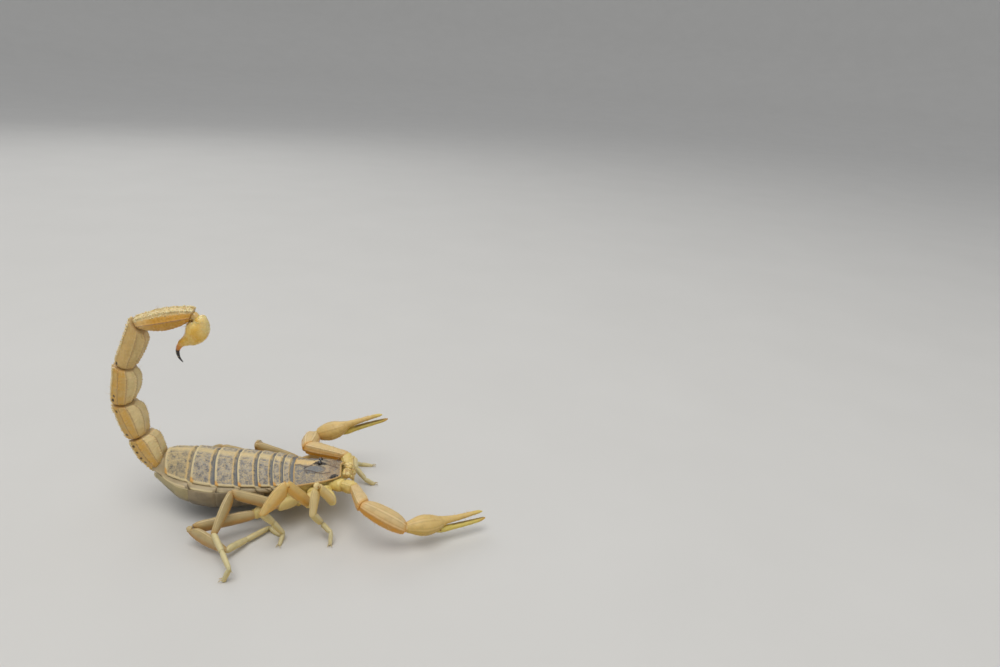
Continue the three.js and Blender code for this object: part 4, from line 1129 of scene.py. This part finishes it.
def arm(key, side, name, shells):
    """One claw arm from its first ring to the tips of its two fingers."""
    links = ARMS[key]
    joints = [mirrored((-2.2, 1.3, 5.0), side), mirrored(ARM_HIP, side)]
    for link in ("trochanter", "femur", "patella", "chela"):
        joints.append(joints[-1] + stride(*links[link]))
    ways = [heading(joints, i) for i in range(5)]

    piece = Piece(f"arm_ring_{name}")
    piece.segment(joints, 1, ARM_RING, ease=0.05, sides=44, rows=28, caps=(0.2, 0.3), rough=0.1,
                  keels=corner_keels((40, 130, 230, 320), 0.06, 6))
    piece.neck(*bend(joints, 2), 0.52, 0.56, soft=0.4)
    piece.done(shells["arm_ring_shell"], "honey", f"pedipalp_trochanter_{name}")

    shell = {"ease": 0.14, "rows": 84, "caps": (0.25, 0.25), "hollow": 0.03, "rough": 0.05}
    piece = Piece(f"arm_femur_{name}")
    keels = corner_keels((45, 135, 225, 315), 0.09, 20) + corner_keels((90, 270), 0.04, 14)
    spots = piece.segment(joints, 2, ARM_FEMUR, sides=72, power=2.5, keels=keels, **shell)
    piece.neck(*bend(joints, 3), 0.6, 0.62, soft=0.0)
    hinge_spots(piece, joints[3], ways[2], 0.62)
    scatter_bristles(piece, spots, 12, 0.8)
    piece.done(shells["arm_shell"], "straw", f"pedipalp_femur_{name}")

    piece = Piece(f"arm_patella_{name}")
    keels = corner_keels((28, 80, 128, 180, 232, 280, 332), 0.06, 22)
    spots = piece.segment(joints, 3, ARM_PATELLA, sides=80, power=2.3, keels=keels, **shell)
    piece.neck(*bend(joints, 4), 0.62, 0.64, reach=0.9, soft=0.3)
    hinge_spots(piece, joints[4], ways[3], 0.66)
    scatter_bristles(piece, spots, 12, 0.8)
    piece.done(shells["arm_shell"], "straw", f"pedipalp_patella_{name}")

    ahead, start = ways[4], joints[4]
    level = ahead.cross(UP).normalized()
    rise = Matrix.Rotation(math.radians(links["roll"]), 3, ahead) @ level.cross(ahead)
    scale = links["chela"][0] / CLAW_LENGTH
    base = max(links["wrist"] / scale - 0.3, 0.0)

    def stations(table):
        line = []
        for reach, lift, wide, high in table:
            sag = links["bow"] * math.sin(math.pi * min(reach / CLAW_LENGTH, 1) ** 1.5)
            line.append((start + ahead * (reach * scale) + rise * (lift - sag), wide, high))
        return line

    hand = [(base, *read(HAND, base))] + [row for row in HAND if row[0] > base + 0.3]
    piece = Piece(f"claw_hand_{name}")
    spots = piece.limb(stations(hand), sides=72, rows=120, up=rise, caps=(0.25, 0.1),
                       power=2.1, rough=0.04,
                       keels=[(a, 0.03, 8, 0, 0.08, 0.42) for a in (40, 100, 150, 210, 260, 320)])
    teeth_row(piece, stations(HAND), -rise, 6.6, scale)
    scatter_bristles(piece, spots, 22, 0.7)
    piece.done(shells["hand_shell"], "honey", f"chela_{name}")

    piece = Piece(f"claw_finger_{name}")
    spots = piece.limb(stations(FINGER), sides=40, rows=80, up=rise, caps=(0.25, 0.1), power=2.1,
                       rough=0.03)
    teeth_row(piece, stations(FINGER), rise, 2.0, scale)
    for sign in (-1, 1):
        knob = stations([(5.2, -0.72, 1, 1)])[0][0] + level * sign * 0.5
        piece.bead(knob, 0.16, 0.6, level * sign, faces=2, spot=1.0)
    scatter_bristles(piece, spots, 12, 0.6)
    piece.done(shells["finger_shell"], "honey", f"chela_finger_{name}")


def teeth_row(piece, line, inward, skip, scale):
    """The dark grains along the biting edge of a claw finger."""
    table, run = [], 0.0
    for i, (at, wide, high) in enumerate(line):
        run += (at - line[i - 1][0]).length if i else 0.0
        table.append([run, *at, high])
    reach = skip * scale
    while reach < run - 0.35:
        *at, high = read(table, reach)
        big = round(reach / 0.2) % 5 == 0
        piece.bead(Vector(at) + inward * (high + 0.01), 0.085 if big else 0.055, 1.0,
                   inward, faces=1, spot=0.6)
        reach += 0.2


def scatter_bristles(piece, spots, count, length):
    """Gathers a few thin bristles that lean forward from a limb's surface."""
    ahead = (spots[-1][0] - spots[0][0]).normalized()
    middle = [point for point, values in spots if 0.1 < values["reach"] < 0.93]
    centre_line = sum(middle, Vector()) / len(middle)
    for _ in range(count):
        root = piece.random.choice(middle)
        out = root - centre_line
        out = (out - ahead * out.dot(ahead)).normalized()
        reach = length * piece.random.uniform(0.6, 1.1)
        bristles.append((root - out * 0.03, root + (out + ahead * 0.7).normalized() * reach, 0.022))


# ---- tail ----

TAIL_ROOT = Vector((-26.0, 0, 7.25))
RING_SIDES = 120  # faces round a tail ring
TAIL_STEPS = (0, 0.16, 0.45, 0.8, 1)  # places of the five sizes along a ring
TAIL = [  # length, pitch, half widths, half heights above and below
    (5.1, 60, (1.6, 1.95, 2.1, 2.0, 1.75), (0.8, 1.0, 1.5, 1.9, 1.45), (1.7, 2.05, 2.4, 2.15, 1.85)),
    (5.4, 71, (1.6, 1.9, 2.0, 1.95, 1.7), (0.95, 1.15, 1.75, 1.9, 1.35), (1.75, 2.0, 2.05, 1.8, 1.75)),
    (5.7, 97, (1.55, 1.8, 1.9, 1.85, 1.6), (1.0, 1.25, 1.8, 1.85, 1.25), (1.7, 1.9, 1.85, 1.65, 1.6)),
    (6.7, 110, (1.45, 1.7, 1.8, 1.7, 1.5), (1.1, 1.3, 1.65, 1.7, 1.25), (1.45, 1.55, 1.4, 1.25, 1.15)),
    (7.8, 168, (1.2, 1.5, 1.65, 1.5, 1.0), (0.65, 0.9, 1.3, 1.0, 0.6), (1.0, 1.4, 1.7, 1.6, 1.0))]
TELSON = [  # x, z and half width along the sting's own line
    (-19.35, 30.35, 0.55), (-19.1, 29.75, 1.1), (-19.25, 28.9, 1.5), (-19.6, 28.0, 1.56),
    (-20.2, 27.25, 1.28), (-21.0, 26.7, 0.82), (-21.75, 26.2, 0.5), (-22.25, 25.5, 0.33),
    (-22.4, 24.7, 0.23), (-22.2, 23.95, 0.14), (-21.8, 23.35, 0.05)]
TAIL_MARKS = (  # dark spots on the lower sides: share of the ring, degrees from the back
    ((0.3, 126), (0.46, 127), (0.66, 128), (0.85, 130), (0.7, 150)),
    ((0.2, 126), (0.88, 124), (0.8, 152)), ((0.16, 128), (0.27, 122), (0.24, 148)),
    ((0.1, 128),), ())


def tail(finishes, sting, beads):
    """Five keeled rings and the sting, with granules standing on the lower keels."""
    joints = [TAIL_ROOT - Vector((-4, 0, 0)), TAIL_ROOT]
    for length, pitch, *_ in TAIL:
        joints.append(joints[-1] + stride(length, 180, pitch))
    joints.append(Vector((TELSON[3][0], 0, TELSON[3][1])))
    ways = [heading(joints, i) for i in range(7)]
    grains = Piece("tail_granules", 5)
    for i, (_, _, wide, back, belly) in enumerate(TAIL):
        piece = Piece(f"tail_ring_{i + 1}", 11 + i)
        rise = Vector((0, 1, 0)).cross(ways[i + 1])
        start, end = joints[i + 1], joints[i + 2]
        cuts = [mitre(ways[i + 1], ways[i], back[0]), mitre(ways[i + 1], ways[i + 2], back[-1])]
        from_at = start + ways[i + 1] * (cuts[0][1] + 0.02)
        to_at = end - ways[i + 1] * (cuts[1][1] + 0.02)
        sizes = ring_sizes([list(row) for row in zip(TAIL_STEPS, wide, back, belly)])
        stations = [(from_at.lerp(to_at, s), w, up, down) for s, w, up, down in sizes]
        keels = tail_keels(i)
        spots = piece.limb(stations, sides=RING_SIDES, rows=110, up=rise, power=2.0, caps=(0.2, 0.12),
                           start=cuts[0][0], end=cuts[1][0], keels=keels, hollow=0.05, rough=0.05,
                           marks=TAIL_MARKS[i])
        piece.neck(*bend(joints, i + 1), wide[0] * 0.72, back[0] * 0.9, 0.6, rise)
        lower_granules(grains, spots, keels, i == 4)
        scatter_bristles(piece, spots, 10, 0.9)
        piece.done(finishes[i], "straw", f"metasoma_{i + 1}")
    piece = Piece("sting_bulb", 21)
    line = [(Vector((x, 0, z)), r, r) for x, z, r in TELSON]
    spots = piece.limb(line, sides=72, rows=150, up=Vector((0, 1, 0)), power=2.0, caps=(0.2, 0.03),
                       rough=0.05)
    piece.neck(joints[6], ways[5], (line[1][0] - line[0][0]).normalized(), 0.62, 0.58, 0.7,
               Vector((0, 1, 0)))
    collar = [at for at, values in spots if 0.03 < values["reach"] < 0.2 and abs(at.y) < 1.2]
    for at in piece.random.choices(collar, k=60):
        piece.bead(at, piece.random.uniform(0.07, 0.13), 0.8, flank=1.0, reach=0.1)
    scatter_bristles(piece, spots, 12, 0.7)
    piece.done(sting, "amber", "telson")
    grains.done(beads, "straw")


def ring_sizes(table):
    """Shares, half widths, heights above and depths below along one tail ring, with the
    raised lip at its rear end and the narrower collar at its front."""
    sizes = []
    for share in (0, 0.05, 0.1, 0.16, 0.28, 0.45, 0.62, 0.8, 0.9, 0.96, 1):
        wide, back, belly = read(table, share)
        collar = 0.9 + 0.1 * smooth(0, 0.1, share)
        lip = 1 + 0.05 * smooth(0.88, 0.97, share)
        sizes.append((share, wide * collar * lip, back * collar, belly * collar * lip))
    return sizes


def tail_keels(i):
    """Ten keels on the first three rings, eight on the fourth and seven on the last."""
    if i == 4:
        rows = ((28, 0.08, 14), (96, 0.1, 14), (142, 0.14, 18), (180, 0.1, 18))
    else:
        rows = ((24, 0.2, 13), (66, 0.13, 14), (138, 0.16, 15), (167, 0.12, 15))
        if i < 3:
            rows += ((102, 0.12, 12),)
    keels = []
    for angle, lift, beads in rows:
        for side in (1, -1) if angle != 180 else (1,):
            keels.append((side * angle, lift, 5.5, beads, 0.04, 0.97))
    keels.append((0, -0.14, 13, 0, 0.0, 1.0))
    return keels


def lower_granules(grains, spots, keels, last):
    """Pale granules on the lower keels, larger to the rear, and all over the last ring's crust."""
    for angle, lift, _, beads, _, _ in keels:
        if abs(angle) < 130:
            continue
        column = round((angle / 360 - 0.5) % 1 * RING_SIDES)
        strip = spots[column::RING_SIDES + 1]
        count = beads + 4
        for k in range(count):
            share = 0.1 + 0.87 * k / (count - 1)
            at = min(strip, key=lambda spot: abs(spot[1]["reach"] - share))[0]
            size = 0.09 + 0.1 * share ** 2 + grains.random.uniform(-0.015, 0.025)
            grains.bead(at, size, 1.0)
    if last:
        crust = [at for at, values in spots
                 if values["back"] < -0.55 and 0.04 < values["reach"] < 0.97]
        for at in grains.random.choices(crust, k=260):
            grains.bead(at, grains.random.uniform(0.06, 0.12), 0.8)


def make_bristles(finish):
    """All bristles as one mesh; each is a small patch at its root's place on the OFBake map."""
    piece = Piece("bristle_set")
    for root, tip, thick in bristles:
        piece.spike(root, tip, thick, 4)
    bake = piece.bm.loops.layers.uv.new("OFBake")
    patch = 0.003
    faces_each = len(piece.bm.faces) // len(bristles)
    for k, face in enumerate(piece.bm.faces):
        root = bristles[k // faces_each][0]
        corner = Vector(((root.x + 36) / 64, 0.5 + root.y / 64 + 0.25 * (root.z > 9)))
        for n, loop in enumerate(face.loops):
            loop[bake].uv = corner + Vector((patch * (n % 2), patch * (n // 2)))
    piece.done(finish, "straw")


# ---- the whole animal ----

LIMB_PAINTS = {  # top, underside, line of the keels and, on the claws, tip; then the rest
    "foot_shell": (((210, 196, 146), (204, 182, 116), (216, 206, 160)), {}),
    "hip_shell": (((226, 202, 122), (216, 184, 94), (232, 212, 146)), {}),
    "leg_shell_front": (((226, 202, 142), (214, 180, 102), (234, 214, 160)), {"joint_tint": 0.4}),
    "leg_shell": (((220, 186, 116), (212, 160, 70), (230, 206, 150)), {"joint_tint": 0.5}),
    "leg_shell_rear": (((188, 166, 118), (186, 142, 78), (216, 194, 142)), {"joint_tint": 0.6}),
    "arm_shell": (((218, 188, 132), (214, 148, 46), (232, 206, 156)),
            {"turn": (-0.1, 0.6), "joint_tint": 0.6}),
    "hand_shell": (((216, 184, 116), (206, 168, 80), (216, 186, 124), (218, 194, 100)),
             {"turn": (-0.6, 0.5), "bite_teeth_and_shade": (-1.0, 0.58)}),
    "finger_shell": (((216, 196, 104), (212, 186, 86), (220, 202, 136), (208, 158, 72)),
               {"bite_teeth_and_shade": (1.0, 0.3)}),
    "arm_ring_shell": (((220, 194, 118), (208, 172, 88), (230, 208, 146)), {})}


def build():
    back_finish = back_plate_finish("back_shell", 0)
    rear_finish = back_plate_finish("back_shell_rear", 1)
    # the second paint of each skin is a darker copy of the first, laid on as painted shade underneath
    skin = skin_finish("flank_skin", (178, 160, 124), (116, 102, 76), (-1.0, 0.9))
    belly = skin_finish("belly_shell", (158, 140, 110), (84, 74, 52), (-0.75, 0.45))
    last_belly = skin_finish("belly_shell_rear", (180, 162, 116), (98, 86, 58), (-0.8, 0.35))
    head_plate(head_plate_finish())
    eyes(eye_finish())
    for i in range(7):
        back_plate(i, rear_finish if i == 6 else back_finish)
    for i in range(5):
        belly_plate(i, belly if i < 4 else last_belly)
    body_skin(skin)
    shells = {name: limb_finish(name, *paints, **extra)
              for name, (paints, extra) in LIMB_PAINTS.items()}
    for key in STANCE:
        pair = {"1": "leg_shell_front", "2": "leg_shell"}.get(key[1], "leg_shell_rear")
        leg(key, shells[pair], shells["foot_shell"])
    chest(shells["hip_shell"])
    combs(shells["hip_shell"])
    jaws(jaw_finish())
    for key, side, name in (("r", -1, "right"), ("l", 1, "left")):
        arm(key, side, name, shells)
    pale, gold, line = (224, 200, 144), (210, 164, 80), (158, 124, 86)
    rings = [tail_finish(f"tail_shell_{i + 1}", pale, gold, line, (0.2, 0.55)) for i in range(3)]
    rings.append(tail_finish("tail_shell_4", (214, 186, 128), (208, 172, 106), line, (0.2, 0.55)))
    rings.append(tail_finish("tail_shell_5", (208, 154, 62), (226, 204, 150), (150, 116, 104),
                             (-0.72, -0.5)))
    tail(rings, sting_finish(), bead_finish())
    make_bristles(bristle_finish())


def lay_floor():
    """A wide pale floor that curves up far behind the model on every side."""
    bm = bmesh.new()
    centre_low, centre_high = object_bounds()
    middle = (centre_low + centre_high) / 2
    profile = [Vector((0.0, 0, 0)), Vector((0.9, 0, 0)), Vector((1.25, 0, 0.03)),
               Vector((1.5, 0, 0.14)), Vector((1.7, 0, 0.4)), Vector((1.8, 0, 0.9))]
    verts = [bm.verts.new(p + Vector((middle.x, middle.y, -0.00002))) for p in profile]
    edges = [bm.edges.new(pair) for pair in zip(verts, verts[1:])]
    bmesh.ops.spin(bm, geom=verts + edges, cent=(middle.x, middle.y, 0), axis=(0, 0, 1),
                   angle=2 * math.pi, steps=96, use_merge=True)
    bmesh.ops.remove_doubles(bm, verts=bm.verts, dist=1e-6)
    for face in bm.faces:
        face.smooth = True
        face.normal_flip()
    mesh = bpy.data.meshes.new("studio_floor")
    bm.to_mesh(mesh)
    floor = bpy.data.objects.new("studio_floor", mesh)
    bpy.context.scene.collection.objects.link(floor)
    look = Look("floor_paper")
    cloud = look.grain(30.0)
    look.colour = look.blend((0.62, 0.61, 0.58, 1), (0.66, 0.65, 0.62, 1), cloud)
    floor.data.materials.append(look.shade(0.8 + 0.1 * cloud, cloud, 0.01, soft=0, gloss=0.2))


place_camera()
light_studio()
build()
lay_floor()
